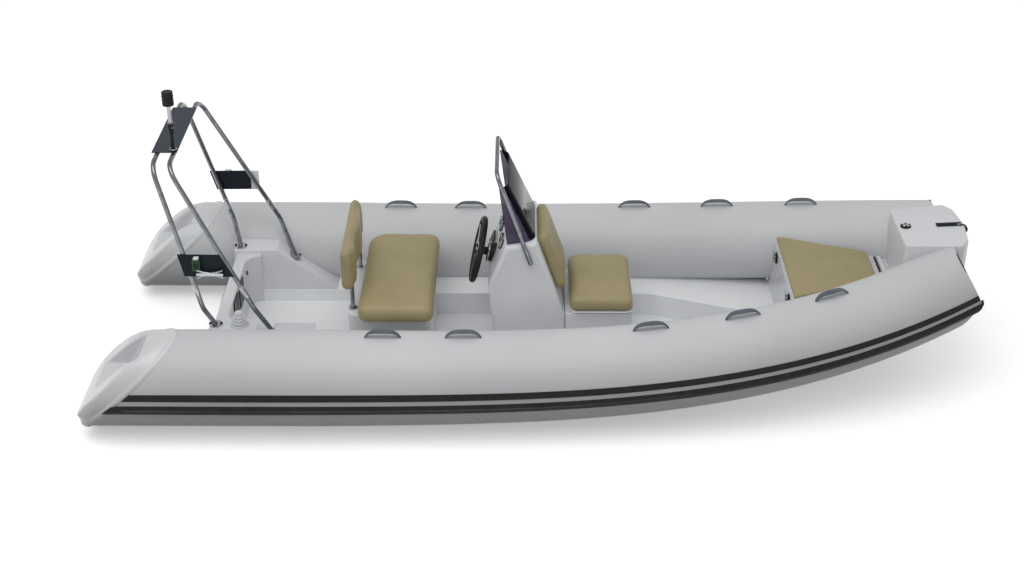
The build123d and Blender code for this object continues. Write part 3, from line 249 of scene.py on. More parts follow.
FABRIC = tube_fabric()
GELCOAT = gelcoat()
TREAD = anti_slip()
KHAKI = seat_vinyl()
STEEL = polished_steel("polished_steel", (0.48, 0.49, 0.51), (0.38, 0.39, 0.41))
CHROME = polished_steel("dark_chrome", (0.27, 0.28, 0.30), (0.17, 0.18, 0.20))
BLACK_RUBBER = rubber("black_rubber", (0.018, 0.018, 0.019), (0.032, 0.032, 0.034))
HANDLE_RUBBER = rubber("handle_rubber", (0.085, 0.097, 0.118), (0.13, 0.145, 0.17), 0.4)
BLACK_PLASTIC = rubber("black_plastic", (0.012, 0.012, 0.013), (0.022, 0.022, 0.024), 0.35)
NEAR_BLACK = rubber("near_black", (0.008, 0.012, 0.018), (0.014, 0.019, 0.026), 0.4)
DARK_PLATE = rubber("dark_plate", (0.028, 0.037, 0.050), (0.04, 0.05, 0.064), 0.4)
ACRYLIC = tinted_acrylic("violet_acrylic", (0.105, 0.072, 0.165), (0.085, 0.058, 0.14), 0.74, 0.2)
# A near-black, nearly opaque copy of the violet acrylic for the rest of the screen: painted shade on the
# same sheet
SHADED_ACRYLIC = tinted_acrylic("acrylic_painted_shade", (0.004, 0.003, 0.006), (0.006, 0.005, 0.009), 0.95, 0.04)
# Paler rubber for the strake beads: a painted highlight along the strakes' ridge
BEAD_HIGHLIGHT_RUBBER = rubber("bead_painted_highlight", (0.05, 0.05, 0.052), (0.075, 0.075, 0.078), 0.3)
GRIP = rubber("wheel_grip", (0.014, 0.014, 0.015), (0.024, 0.024, 0.026), 0.45)
CAP_PLASTIC = gelcoat("cap_plastic", (0.66, 0.67, 0.685), (0.61, 0.62, 0.635))
PALE_PLASTIC = gelcoat("pale_plastic", (0.74, 0.745, 0.75), (0.66, 0.665, 0.67))
GREEN_LENS = lens("green_lens", (0.002, 0.035, 0.006), (0.005, 0.07, 0.014))
RED_LENS = lens("red_lens", (0.22, 0.006, 0.006), (0.34, 0.02, 0.014))

NODE_FINISH = {
    "tube_starboard": FABRIC,
    "tube_port": FABRIC,
    "tube_end_caps": FABRIC,
    "rub_stripes": BLACK_RUBBER,
    "rub_strakes": BLACK_RUBBER,
    "grab_handles": HANDLE_RUBBER,
    "hull": GELCOAT,
    "deck": TREAD,
    "transom": GELCOAT,
    "wing_port": GELCOAT,
    "wing_starboard": GELCOAT,
    "helm_seat_box": GELCOAT,
    "helm_seat_lid": GELCOAT,
    "helm_cushion": KHAKI,
    "helm_backrest": KHAKI,
    "backrest_posts": STEEL,
    "console": GELCOAT,
    "front_seat_box": GELCOAT,
    "front_seat_lid": GELCOAT,
    "front_cushion": KHAKI,
    "front_backrest": KHAKI,
    "windscreen": ACRYLIC,
    "windscreen_rail": CHROME,
    "helm_bezel": BLACK_PLASTIC,
    "steering_wheel": BLACK_PLASTIC,
    "gauges": BLACK_PLASTIC,
    "switch_panel": BLACK_PLASTIC,
    "arch_rear_hoop": STEEL,
    "arch_front_hoop": STEEL,
    "arch_feet": STEEL,
    "arch_top_plate": DARK_PLATE,
    "arch_side_panels": NEAR_BLACK,
    "nav_light_starboard": GREEN_LENS,
    "nav_light_port": RED_LENS,
    "mooring_cleats": STEEL,
    "mast_base": BLACK_PLASTIC,
    "light_mast": STEEL,
    "all_round_light": BLACK_PLASTIC,
    "bow_locker": GELCOAT,
    "bow_locker_lid": GELCOAT,
    "bow_cushion": KHAKI,
    "locker_latches": BLACK_PLASTIC,
    "bow_nose": GELCOAT,
    "roller_pin": STEEL,
    "anchor_roller": BLACK_RUBBER,
    "bow_fitting": BLACK_PLASTIC,
    "bow_eye": STEEL,
    "engine_pads": BLACK_PLASTIC,
    "transom_fittings": BLACK_PLASTIC,
    "cable_boot": GELCOAT,
}
for name, material in NODE_FINISH.items():
    for slot in nodes[name].material_slots:
        slot.material = material


# ---------------------------------------------------------------- modelling
def deselect():
    if bpy.context.object and bpy.context.object.mode != "OBJECT":
        bpy.ops.object.mode_set(mode="OBJECT")
    bpy.ops.object.select_all(action="DESELECT")


def grab(piece):
    """Makes the piece the only one selected."""
    deselect()
    piece.select_set(True)
    bpy.context.view_layer.objects.active = piece
    return piece


def modify(piece, kind, **settings):
    """Adds a modifier to the piece and applies it."""
    grab(piece)
    modifier = piece.modifiers.new(kind.lower(), kind)
    for key, value in settings.items():
        setattr(modifier, key, value)
    bpy.ops.object.modifier_apply(modifier=modifier.name)
    return piece


def rounded(piece, width, segments=3, angle=30):
    """Bevels the piece's sharp edges."""
    return modify(
        piece,
        "BEVEL",
        width=width,
        segments=segments,
        limit_method="ANGLE",
        angle_limit=radians(angle),
    )


def settle(piece, name, finish, body="boat", replaced=(), angle=40):
    """Finishes a piece: its place goes into its mesh, and it gets its name, material and body."""
    grab(piece)
    bpy.ops.object.transform_apply(location=True, rotation=True, scale=True)
    bpy.ops.object.shade_smooth_by_angle(angle=radians(angle))
    piece.name = name
    piece.data.name = name
    piece.data.materials.clear()
    piece.data.materials.append(finish)
    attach(piece, body)
    if replaced:
        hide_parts(*replaced)
    return piece


def joined(pieces):
    """Several meshes as one."""
    deselect()
    for piece in pieces:
        piece.select_set(True)
    bpy.context.view_layer.objects.active = pieces[0]
    bpy.ops.object.join()
    return bpy.context.object


def copied(node):
    """A copy of a CAD node's mesh with its loose corners merged and its flat faces made whole."""
    piece = bpy.data.objects.new("copy", nodes[node].data.copy())
    scene.collection.objects.link(piece)
    grab(piece)
    bpy.ops.object.mode_set(mode="EDIT")
    bpy.ops.mesh.select_all(action="SELECT")
    bpy.ops.mesh.remove_doubles(threshold=0.00002)
    bpy.ops.mesh.dissolve_limited(angle_limit=radians(0.5))
    bpy.ops.object.mode_set(mode="OBJECT")
    return piece


def coordinates(piece):
    flat = np.empty(len(piece.data.vertices) * 3)
    piece.data.vertices.foreach_get("co", flat)
    return flat.reshape(-1, 3)


def place_points(piece, points):
    piece.data.vertices.foreach_set("co", points.ravel())
    piece.data.update()


def cut(piece, point, normal):
    """Cuts away what lies on the normal's side of a plane, and closes the cut."""
    grab(piece)
    bpy.ops.object.mode_set(mode="EDIT")
    bpy.ops.mesh.select_all(action="SELECT")
    across = Vector(normal).normalized()
    bpy.ops.mesh.bisect(plane_co=point, plane_no=across, use_fill=True, clear_outer=True)
    bpy.ops.object.mode_set(mode="OBJECT")
    return piece


def swept(points, radii, around=12):
    """A round bar along the points: a curve with a bevel, turned into a mesh."""
    line = bpy.data.curves.new("line", "CURVE")
    line.dimensions = "3D"
    line.bevel_depth = 1.0
    line.bevel_resolution = around // 2 - 2
    line.use_fill_caps = True
    spline = line.splines.new("POLY")
    spline.points.add(len(points) - 1)
    for knot, place, radius in zip(spline.points, points, radii):
        knot.co = (*place, 1.0)
        knot.radius = radius
    piece = bpy.data.objects.new("line", line)
    scene.collection.objects.link(piece)
    grab(piece)
    bpy.ops.object.convert(target="MESH")
    piece = bpy.context.object
    bpy.ops.object.mode_set(mode="EDIT")
    bpy.ops.mesh.select_all(action="SELECT")
    bpy.ops.mesh.remove_doubles(threshold=0.00001)
    bpy.ops.mesh.normals_make_consistent(inside=False)
    bpy.ops.object.mode_set(mode="OBJECT")
    return piece


def bar(points, radius, around=12):
    return swept(points, [radius] * len(points), around)


def bent(corners, radius, steps=8):
    """Points along a pipe's line, with a round bend at each inner corner."""
    corners = [Vector(corner) for corner in corners]
    line = [corners[0]]
    for before, corner, after in zip(corners, corners[1:], corners[2:]):
        back = (before - corner).normalized()
        on = (after - corner).normalized()
        half = back.angle(on) / 2
        centre = corner + (back + on).normalized() * (radius / sin(half))
        first = (corner + back * (radius / tan(half)) - centre).normalized()
        last = (corner + on * (radius / tan(half)) - centre).normalized()
        line += [centre + first.slerp(last, step / steps) * radius for step in range(steps + 1)]
    return line + [corners[-1]]


def mirrored(corners):
    """A line's corners on starboard, then on port in reverse."""
    return [(x, -y, z) for x, y, z in corners] + [(x, y, z) for x, y, z in reversed(corners)]


def boss(place, axis, radius, height, edge=0.0, sides=32):
    """A round boss standing on place along axis, with rounded edges."""
    axis = Vector(axis).normalized()
    deselect()
    bpy.ops.mesh.primitive_cylinder_add(
        vertices=sides,
        radius=radius,
        depth=height,
        location=Vector(place) + axis * height / 2,
        rotation=axis.to_track_quat("Z", "Y").to_euler(),
    )
    piece = bpy.context.object
    bpy.ops.object.transform_apply(location=True, rotation=True, scale=True)
    if edge:
        rounded(piece, edge)
    return piece


def ring(place, axis, radius, thickness, around=48):
    """A round ring about axis."""
    deselect()
    bpy.ops.mesh.primitive_torus_add(
        major_radius=radius,
        minor_radius=thickness,
        major_segments=around,
        minor_segments=16,
        location=place,
        rotation=Vector(axis).to_track_quat("Z", "Y").to_euler(),
    )
    piece = bpy.context.object
    bpy.ops.object.transform_apply(location=True, rotation=True, scale=True)
    return piece


def block(low, high, edge):
    """A box between two corners with rounded edges."""
    low, high = Vector(low), Vector(high)
    deselect()
    bpy.ops.mesh.primitive_cube_add(size=1.0, location=(low + high) / 2)
    piece = bpy.context.object
    bpy.ops.transform.resize(value=high - low, center_override=(low + high) / 2)
    bpy.ops.object.transform_apply(location=True, rotation=True, scale=True)
    return rounded(piece, edge)


def allen_bolt(place, axis, radius):
    """A socket head bolt: the top of a boss is inset and pressed in."""
    piece = boss(place, axis, radius, radius * 0.9, radius * 0.12, 24)
    axis = Vector(axis).normalized()
    grab(piece)
    for face in piece.data.polygons:
        face.select = face.normal.dot(axis) > 0.99 and face.area > radius * radius
    bpy.ops.object.mode_set(mode="EDIT")
    bpy.ops.mesh.select_mode(type="FACE")
    bpy.ops.mesh.inset(thickness=radius * 0.42)
    bpy.ops.mesh.extrude_region_move(TRANSFORM_OT_translate={"value": -axis * radius * 0.5})
    bpy.ops.object.mode_set(mode="OBJECT")
    return piece


# ---------------------------------------------------------------- side tubes
TUBE_Y, TUBE_Z, TUBE_R, TUBE_R_BOW = 0.789, 0.292, 0.268, 0.228
CURVE_X, CURVE_LENGTH = -1.300, 3.770
PINCH, RISE = 0.583, 0.360
TUBE_CUT = Vector((-2.028, 0, TUBE_Z + TUBE_R))
TUBE_CUT_SLOPE = 1.2
TUBE_END_X = -2.545
TUBE_FRONT = Vector((2.436, 0, 0.608))
TUBE_FRONT_RAKE, TUBE_CHIN_RAKE = 0.58, 0.5
TUBE_BLANK_X, TUBE_BLANK_LENGTH, TUBE_STEPS, TUBE_SIDES = -2.8, 5.5, 150, 96
LIP_R, LIP_SUNK, LIP_STEPS = 0.024, 0.017, 96
EDGING_R, EDGING_FROM, EDGING_TURN, EDGING_STEPS = 0.0045, -110, 250, 72
CAP_DEPTH = 0.05
CAP_AFT_X = -2.590
CAP_SEAM_CLEAR = 0.004
CAP_BELLY_Z = (0.02, 0.05, 0.086, 0.12, 0.18, 0.26, 0.36)
CAP_BELLY_X = (0.048, 0.038, 0.024, 0.0, -0.030, -0.022, 0.0)
SCOOP_SILL = ((-2.385, -0.118, 0.280), (-2.320, 0.118, 0.302))
BEAD_ANGLE, BEAD_OUT, BEAD_R = -7.4, 0.0160, 0.0048
BEAD_X, BEAD_LENGTH, BEAD_STEPS = -2.30, 4.70, 90


def tube_at(x):
    """Distance of a tube's axis from the middle, its height, and the tube's radius."""
    bow = max(0.0, (x - CURVE_X) / CURVE_LENGTH)
    return TUBE_Y - PINCH * bow**3.6, TUBE_Z + RISE * bow**3, TUBE_R - (TUBE_R - TUBE_R_BOW) * bow


def on_tube(x, side, angle, out=0.0):
    """Point on a tube's skin; the angle goes up from the outboard side, in degrees."""
    y, z, radius = tube_at(x)
    reach = radius + out
    return Vector((x, side * (y + reach * cos(radians(angle))), z + reach * sin(radians(angle))))


def tube(side):
    """One side tube, swept along its axis and cut off at both ends."""
    stations = [
        TUBE_BLANK_X + TUBE_BLANK_LENGTH * step / TUBE_STEPS for step in range(TUBE_STEPS + 1)
    ]
    line = [(x, side * tube_at(x)[0], tube_at(x)[1]) for x in stations]
    piece = swept(line, [tube_at(x)[2] for x in stations], TUBE_SIDES)
    cut(piece, TUBE_CUT, (-1, 0, TUBE_CUT_SLOPE))
    cut(piece, (TUBE_END_X, 0, 0), (-1, 0, 0))
    cut(piece, TUBE_FRONT, (1, 0, TUBE_FRONT_RAKE))
    cut(piece, TUBE_FRONT, (1, 0, -TUBE_CHIN_RAKE))
    return cut(piece, (0, 0, 0), (0, -side, 0))


def cap_lip(side):
    """The raised, rounded lip where a cap meets its tube."""
    line = []
    for step in range(LIP_STEPS + 1):
        angle = 360 * step / LIP_STEPS
        z = TUBE_Z + (TUBE_R - LIP_SUNK) * sin(radians(angle))
        x = max(TUBE_END_X, TUBE_CUT.x - (TUBE_CUT.z - z) * TUBE_CUT_SLOPE)
        line.append(on_tube(x, side, angle, -LIP_SUNK))
    return bar(line, LIP_R, 16)


def front_edging(side):
    """Dark edging round the cut front of a tube."""
    line = []
    for step in range(EDGING_STEPS + 1):
        angle = EDGING_FROM + EDGING_TURN * step / EDGING_STEPS
        x = TUBE_FRONT.x
        for _ in range(20):
            rise = on_tube(x, side, angle).z - TUBE_FRONT.z
            x = TUBE_FRONT.x - (TUBE_FRONT_RAKE * rise if rise > 0 else -TUBE_CHIN_RAKE * rise)
        line.append(on_tube(x - 0.003, side, angle, -0.001))
    return bar([point for point in line if side * point.y > 0.0], EDGING_R, 8)


def soft_caps():
    """The end caps, with a rounded tip and a full belly."""
    piece = rounded(copied("tube_end_caps"), 0.006, 3)
    modify(piece, "REMESH", mode="VOXEL", voxel_size=0.008)
    points = coordinates(piece)
    seam = np.maximum(TUBE_END_X, TUBE_CUT.x - (TUBE_CUT.z - points[:, 2]) * TUBE_CUT_SLOPE)
    aft = np.clip((seam - points[:, 0]) / CAP_DEPTH, 0, 1)
    shifted = points[:, 0] + aft * np.interp(points[:, 2], CAP_BELLY_Z, CAP_BELLY_X)
    shifted = np.minimum(shifted, np.maximum(points[:, 0], seam - CAP_SEAM_CLEAR))
    points[:, 0] = np.maximum(shifted, CAP_AFT_X)
    place_points(piece, points)
    return modify(piece, "SMOOTH", factor=0.5, iterations=5)


for side, name in ((-1, "starboard"), (1, "port")):
    settle(tube(side), f"{name}_tube", FABRIC, replaced=[f"tube_{name}"], angle=30)
settle(soft_caps(), "end_caps", CAP_PLASTIC, replaced=["tube_end_caps"])
settle(joined([cap_lip(1), cap_lip(-1)]), "end_cap_lips", CAP_PLASTIC)
sills = []
for side in (1, -1):
    shift = Vector((0, side * TUBE_Y, 0))
    sills.append(block(Vector(SCOOP_SILL[0]) + shift, Vector(SCOOP_SILL[1]) + shift, 0.004))
settle(joined(sills), "scoop_sills", CAP_PLASTIC)
settle(joined([front_edging(1), front_edging(-1)]), "tube_front_edging", BLACK_RUBBER)

# A bead runs along the widest line of each strake; its rubber is paler than the strake's black, a painted
# highlight along the ridge
bead_stations = [BEAD_X + BEAD_LENGTH * step / BEAD_STEPS for step in range(BEAD_STEPS + 1)]
beads = []
for side in (1, -1):
    line = [on_tube(x, side, BEAD_ANGLE, BEAD_OUT) for x in bead_stations]
    beads.append(bar(line, BEAD_R, 10))
settle(joined(beads), "strake_highlight_beads", BEAD_HIGHLIGHT_RUBBER)

# ---------------------------------------------------------------- grab handles
HANDLE_STATIONS = (-0.906, -0.465, 0.564, 1.073, 1.573)
HANDLE_HALF, HANDLE_RISE, HANDLE_WIDTH = 0.100, 0.038, 0.046
HANDLE_THIN, HANDLE_SWELL, HANDLE_SUNK = 0.0020, 0.0040, 0.001


def handle(x, side):
    """A strap arched over the tube's crest, wide in the middle and pointed at both ends."""
    steps = [step / 32 for step in range(33)]
    rises = [HANDLE_RISE * (1 - (2 * t - 1) ** 4) - HANDLE_SUNK for t in steps]
    line = [(HANDLE_HALF * (2 * t - 1), 0, rise) for t, rise in zip(steps, rises)]
    thick = [HANDLE_THIN + HANDLE_SWELL * sin(pi * t) ** 0.6 for t in steps]
    piece = swept(line, thick, 12)
    grab(piece)
    bpy.ops.object.mode_set(mode="EDIT")
    bpy.ops.mesh.select_all(action="SELECT")
    widen = HANDLE_WIDTH / (2 * (HANDLE_THIN + HANDLE_SWELL))
    bpy.ops.transform.resize(value=(1, widen, 1), center_override=(0, 0, 0))
    bpy.ops.object.mode_set(mode="OBJECT")
    ahead = on_tube(x + 0.01, side, 90) - on_tube(x - 0.01, side, 90)
    piece.location = on_tube(x, side, 90)
    piece.rotation_euler = (0, -atan2(ahead.z, ahead.x), atan2(ahead.y, ahead.x))
    bpy.ops.object.transform_apply(location=True, rotation=True, scale=True)
    return piece


settle(
    joined([handle(x, side) for x in HANDLE_STATIONS for side in (1, -1)]),
    "strap_handles",
    HANDLE_RUBBER,
    replaced=["grab_handles"],
    angle=60,
)

# ---------------------------------------------------------------- mouldings
MOULDINGS = {
    # node: (width of the rounded edge, body)
    "transom": (0.012, "boat"),
    "wing_port": (0.014, "boat"),
    "wing_starboard": (0.014, "boat"),
    "helm_seat_box": (0.012, "boat"),
    "helm_seat_lid": (0.004, "helm_seat_lid_body"),
    "console": (0.012, "boat"),
    "front_seat_box": (0.012, "boat"),
    "front_seat_lid": (0.004, "front_seat_lid_body"),
    "bow_locker": (0.010, "boat"),
    "bow_locker_lid": (0.004, "bow_locker_lid_body"),
    "bow_nose": (0.016, "boat"),
    "cable_boot": (0.003, "boat"),
}
for node, (width, body) in MOULDINGS.items():
    settle(rounded(copied(node), width), f"{node}_moulding", GELCOAT, body, replaced=[node])

# ---------------------------------------------------------------- arch
ARCH_R, ARCH_BEND = 0.0140, 0.095
SLEEVE_FROM, SLEEVE_LENGTH, SLEEVE_WALL = 0.075, 0.075, 0.0015
BOLT_R, BOLT_AHEAD, BOLT_LIFT = 0.0075, 0.031, 0.006
ARCH_REAR = ((-1.880, 0.470, 0.445), (-1.925, 0.552, 0.600), (-2.142, 0.462, 1.424))
ARCH_FRONT = ((-1.548, 0.470, 0.380), (-1.638, 0.556, 0.600), (-2.052, 0.472, 1.424))
for name, legs in (("arch_rear_hoop", ARCH_REAR), ("arch_front_hoop", ARCH_FRONT)):
    hoop = bar(bent(mirrored(legs), ARCH_BEND, 14), ARCH_R, 28)
    settle(hoop, f"{name}_tube", CHROME, replaced=[name], angle=60)
sleeves = []
for legs in (ARCH_REAR, ARCH_FRONT):
    for side in (1, -1):
        low = Vector((legs[1][0], side * legs[1][1], legs[1][2]))
        high = Vector((legs[2][0], side * legs[2][1], legs[2][2]))
        along = (high - low).normalized()
        foot = low + along * SLEEVE_FROM
        sleeves.append(boss(foot, along, ARCH_R + SLEEVE_WALL, SLEEVE_LENGTH, 0.002, 28))
settle(joined(sleeves), "arch_sleeves", STEEL)
bolts = []
for legs in (ARCH_REAR, ARCH_FRONT):
    for side in (1, -1):
        for ahead in (-BOLT_AHEAD, BOLT_AHEAD):
            place = (legs[0][0] + ahead, side * legs[0][1], legs[0][2] + BOLT_LIFT)
            bolts.append(allen_bolt(place, (0, 0, 1), BOLT_R))
settle(joined(bolts), "foot_bolts", BLACK_PLASTIC)

# ---------------------------------------------------------------- lamps, cleats and mast
RIB_PITCH, RIB_IN, RIB_R = 0.012, 0.006, 0.0022
LAMP_CAP_IN, LAMP_CAP_DROP, LAMP_CAP_RISE = Vector((0.008, 0.004, 0)), 0.006, 0.001
for side, name, lamp_finish in ((-1, "starboard", GREEN_LENS), (1, "port", RED_LENS)):
    node = f"nav_light_{name}"
    low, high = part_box(node)
    settle(rounded(copied(node), 0.004), f"side_lamp_{name}", lamp_finish, replaced=[node])
    outer_y = high.y if side > 0 else low.y
    ribs = []
    for rung in range(1, 6):
        z = low.z + rung * RIB_PITCH
        ribs.append(bar([(low.x + RIB_IN, outer_y, z), (high.x - RIB_IN, outer_y, z)], RIB_R, 8))
    settle(joined(ribs), f"lamp_ribs_{name}", lamp_finish)
    cap_low = Vector((low.x, low.y, high.z - LAMP_CAP_DROP)) + LAMP_CAP_IN
    cap_high = Vector((high.x, high.y, high.z + LAMP_CAP_RISE)) - LAMP_CAP_IN
    settle(block(cap_low, cap_high, 0.002), f"lamp_cap_{name}", PALE_PLASTIC)

HORN_TIP, HORN_NECK = (0.072, 0.006, 0.024), (0.030, 0.006)
HORN_R = (0.004, 0.007, 0.009, 0.007, 0.004)
CLEAT_X, CLEAT_Z, CLEAT_IN = -1.860, 0.832, 0.012
cleats_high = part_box("mooring_cleats")[1]
horns = []
for side in (1, -1):
    centre = Vector((CLEAT_X, side * (cleats_high.y - CLEAT_IN), CLEAT_Z))
    for rise in (1, -1):
        horns.append(
            swept(
                [
                    centre + Vector((-HORN_TIP[0], side * HORN_TIP[1], rise * HORN_TIP[2])),
                    centre + Vector((-HORN_NECK[0], 0, rise * HORN_NECK[1])),
                    centre,
                    centre + Vector((HORN_NECK[0], 0, -rise * HORN_NECK[1])),
                    centre + Vector((HORN_TIP[0], side * HORN_TIP[1], -rise * HORN_TIP[2])),
                ],
                HORN_R,
                16,
            )
        )
settle(joined(horns), "cleat_horns", STEEL)

# The lamp's mast and its folding foot
UP = Vector((0, 0, 1))
KNUCKLE_R, PIVOT_R, PIVOT_OUT = 0.0175, 0.012, 0.014
mast_low, mast_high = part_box("light_mast")
mast_foot = (mast_low + mast_high) / 2
mast_foot.z = mast_low.z
knuckle = boss(mast_foot + UP * 0.002, UP, KNUCKLE_R, 0.026, 0.003)
pivot = boss(mast_foot + Vector((0, -PIVOT_OUT, PIVOT_OUT)), (0, -1, 0), PIVOT_R, 0.012, 0.003)
settle(joined([knuckle, pivot]), "mast_joint", BLACK_PLASTIC, "light_mast_body")

LAMP_RING_R, LAMP_RING_LIFTS = 0.0305, (0.012, 0.030, 0.052)
lamp_low, lamp_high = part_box("all_round_light")
lamp_foot = (lamp_low + lamp_high) / 2
lamp_foot.z = lamp_low.z
lamp_rings = [ring(lamp_foot + UP * lift, UP, LAMP_RING_R, 0.002) for lift in LAMP_RING_LIFTS]
settle(joined(lamp_rings), "lamp_rings", BLACK_PLASTIC, "light_mast_body")

FOOT_RING_R, FOOT_RING_LIFT = 0.018, 0.010
ring_place = Vector((mast_foot.x, mast_foot.y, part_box("mast_base")[0].z + FOOT_RING_LIFT))
settle(ring(ring_place, UP, FOOT_RING_R, 0.003), "mast_foot_ring", STEEL)

# The port plate is bent over at its forward edge, and the bend is pale plastic: a painted reflection of
# the bright surroundings on the dark plate
plates_low, plates_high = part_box("arch_side_panels")
RETURN_X, RETURN_Y, RETURN_Z = (0.062, 0.012), (0.017, 0.004), 0.004
return_low = (plates_high.x - RETURN_X[0], plates_high.y - RETURN_Y[0], plates_low.z + RETURN_Z)
return_high = (plates_high.x - RETURN_X[1], plates_high.y - RETURN_Y[1], plates_high.z - RETURN_Z)
settle(block(return_low, return_high, 0.002), "port_plate_return_reflection", PALE_PLASTIC)

# ---------------------------------------------------------------- cushions
CLOTH_PRESSURE, CLOTH_FRAMES = 2.0, 20
# How much smaller each side of a pad starts, before it is blown up
PAD_SHRINK = 0.0
HELM_CORNER_PORT, HELM_CORNER_STARBOARD, HELM_CORNER_SLOPE = 0.085, 0.040, 0.9
BACK_LEVELS = (0.12, 0.24, 0.36, 0.48, 0.60, 0.72, 0.84, 0.93)
BACK_COLUMNS = np.linspace(-0.9, 0.9, 19)
BACK_TAPER_TOP, BACK_TAPER_FOOT, BACK_WAVE = 0.014, 0.006, 0.009


def puffed(piece, voxel, cap, rest_side, rounding):
    """Remeshes a pad, rounds it and blows it up with a short cloth simulation.

    No point moves further than the cap, or towards the side that the pad rests on.
    """
    modify(piece, "REMESH", mode="VOXEL", voxel_size=voxel)
    modify(piece, "SMOOTH", factor=0.5, iterations=rounding)
    before = coordinates(piece)
    grab(piece)
    cloth = piece.modifiers.new("cloth", "CLOTH")
    cloth.settings.use_pressure = True
    cloth.settings.uniform_pressure_force = CLOTH_PRESSURE
    cloth.settings.effector_weights.gravity = 0.0
    cloth.settings.quality = 4
    cloth.point_cache.frame_start = 1
    cloth.point_cache.frame_end = CLOTH_FRAMES
    for moment in range(1, CLOTH_FRAMES + 1):
        scene.frame_set(moment)
    bpy.ops.object.modifier_apply(modifier=cloth.name)
    scene.frame_set(1)
    travel = coordinates(piece) - before
    rest_side = np.array(rest_side, dtype=float)
    sunk = np.minimum(0.0, travel @ rest_side)
    travel -= sunk[:, None] * rest_side
    length = np.maximum(np.linalg.norm(travel, axis=1, keepdims=True), 1e-9)
    place_points(piece, before + travel * np.minimum(1.0, cap / length))
    return modify(piece, "SMOOTH", factor=0.5, iterations=24)


def pad(
    node,
    name,
    body="boat",
    voxel=0.008,
    cap=0.012,
    proud=(0.0, 0.0, 0.0),
    crown=0.0,
    rounding=8,
    rest_side=(0, 0, 1),
    shape=None,
):
    """A stuffed pad in the place of its CAD solid, which it replaces.

    It may stand proud of the solid by the given lengths forward, to both sides and upwards.
    """
    low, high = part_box(node)
    middle = (low + high) / 2
    size = high - low
    piece = copied(node)
    if shape:
        piece = shape(piece, low, high)
    grab(piece)
    factor = Vector([1 - 2 * PAD_SHRINK / side for side in size])
    anchor = Vector([middle[axis] - rest_side[axis] * size[axis] / 2 for axis in range(3)])
    bpy.ops.object.mode_set(mode="EDIT")
    bpy.ops.mesh.select_all(action="SELECT")
    bpy.ops.transform.resize(value=factor, center_override=anchor)
    bpy.ops.object.mode_set(mode="OBJECT")
    puffed(piece, voxel, cap, rest_side, rounding)
    points = coordinates(piece)
    across = np.clip(2 * (points - np.array(middle)) / np.array(size), -1, 1)
    swell = (1 - across[:, 0] ** 4) * (1 - across[:, 1] ** 4) * np.clip(across[:, 2], 0, 1)
    points[:, 2] += crown * swell
    proud = np.array(proud)
    place_points(piece, np.clip(points, np.array(low) - proud * (0, 1, 0), np.array(high) + proud))
    modify(piece, "SUBSURF", levels=1)
    settle(piece, name, KHAKI, body, replaced=[node], angle=60)
    return piece


def helm_seat_shape(piece, low, high):
    """The helm cushion's aft corners are cut off."""
    cut(piece, (low.x + HELM_CORNER_PORT, high.y, 0), (-1, HELM_CORNER_SLOPE, 0))
    cut(piece, (low.x + HELM_CORNER_STARBOARD, low.y, 0), (-1, -HELM_CORNER_SLOPE, 0))
    return piece


def back_shape(piece, low, high):
    """The helm backrest's front bulges at the shoulders and the small of the back."""
    grab(piece)
    bpy.ops.object.mode_set(mode="EDIT")
    for share in BACK_LEVELS:
        bpy.ops.mesh.select_all(action="SELECT")
        bpy.ops.mesh.bisect(plane_co=(0, 0, low.z + share * (high.z - low.z)), plane_no=(0, 0, 1))
    for share in BACK_COLUMNS:
        bpy.ops.mesh.select_all(action="SELECT")
        bpy.ops.mesh.bisect(plane_co=(0, share * high.y, 0), plane_no=(0, 1, 0))
    bpy.ops.object.mode_set(mode="OBJECT")
    points = coordinates(piece)
    share = (points[:, 2] - low.z) / (high.z - low.z)
    across = points[:, 1] / high.y
    front = points[:, 0] > (low.x + high.x) / 2
    thinner = BACK_TAPER_TOP * np.clip(share, 0, 1) ** 3
    thinner += BACK_TAPER_FOOT * np.clip(1 - share, 0, 1) ** 3
    wave = BACK_WAVE * (1 + np.cos(2 * pi * (across + 0.25)))
    points[:, 0] -= np.where(front, thinner + wave, 0.0)
    place_points(piece, points)
    return rounded(piece, 0.012, 3, 50)


pad(
    "helm_cushion",
    "helm_seat_pad",
    "helm_seat_lid_body",
    voxel=0.010,
    shape=helm_seat_shape,
    cap=0.008,
    rounding=22,
    proud=(0.008, 0.008, 0.03),
    crown=0.022,
)
pad(
    "helm_backrest",
    "helm_back_pad",
    voxel=0.007,
    rest_side=(0, 0, 0),
    shape=back_shape,
    cap=0.007,
    rounding=8,
    proud=(0.0, 0.005, 0.005),
)
pad(
    "front_cushion",
    "front_seat_pad",
    "front_seat_lid_body",
    voxel=0.008,
    cap=0.008,
    rounding=26,
    proud=(0.008, 0.008, 0.03),
    crown=0.018,
)
pad("front_backrest", "front_back_pad", voxel=0.007, rest_side=(0, 0, 0), cap=0.006, rounding=10)
pad("bow_cushion", "bow_pad", "bow_locker_lid_body", voxel=0.006, cap=0.003)

# A pale bead trims the foot of the front cushion
TRIM_AFT, TRIM_IN, TRIM_LIFT, TRIM_BEND, TRIM_R = 0.02, 0.004, 0.002, 0.05, 0.004
trim_low, trim_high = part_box("front_cushion")
aft_x, fore_x, trim_z = trim_low.x + TRIM_AFT, trim_high.x - TRIM_IN, trim_low.z + TRIM_LIFT
port_y, starboard_y = trim_high.y - TRIM_IN, trim_low.y + TRIM_IN
trim_corners = [(aft_x, port_y), (fore_x, port_y), (fore_x, starboard_y), (aft_x, starboard_y)]
trim = bar(bent([(x, y, trim_z) for x, y in trim_corners], TRIM_BEND), TRIM_R, 10)
settle(trim, "front_seat_trim", GELCOAT, "front_seat_lid_body")

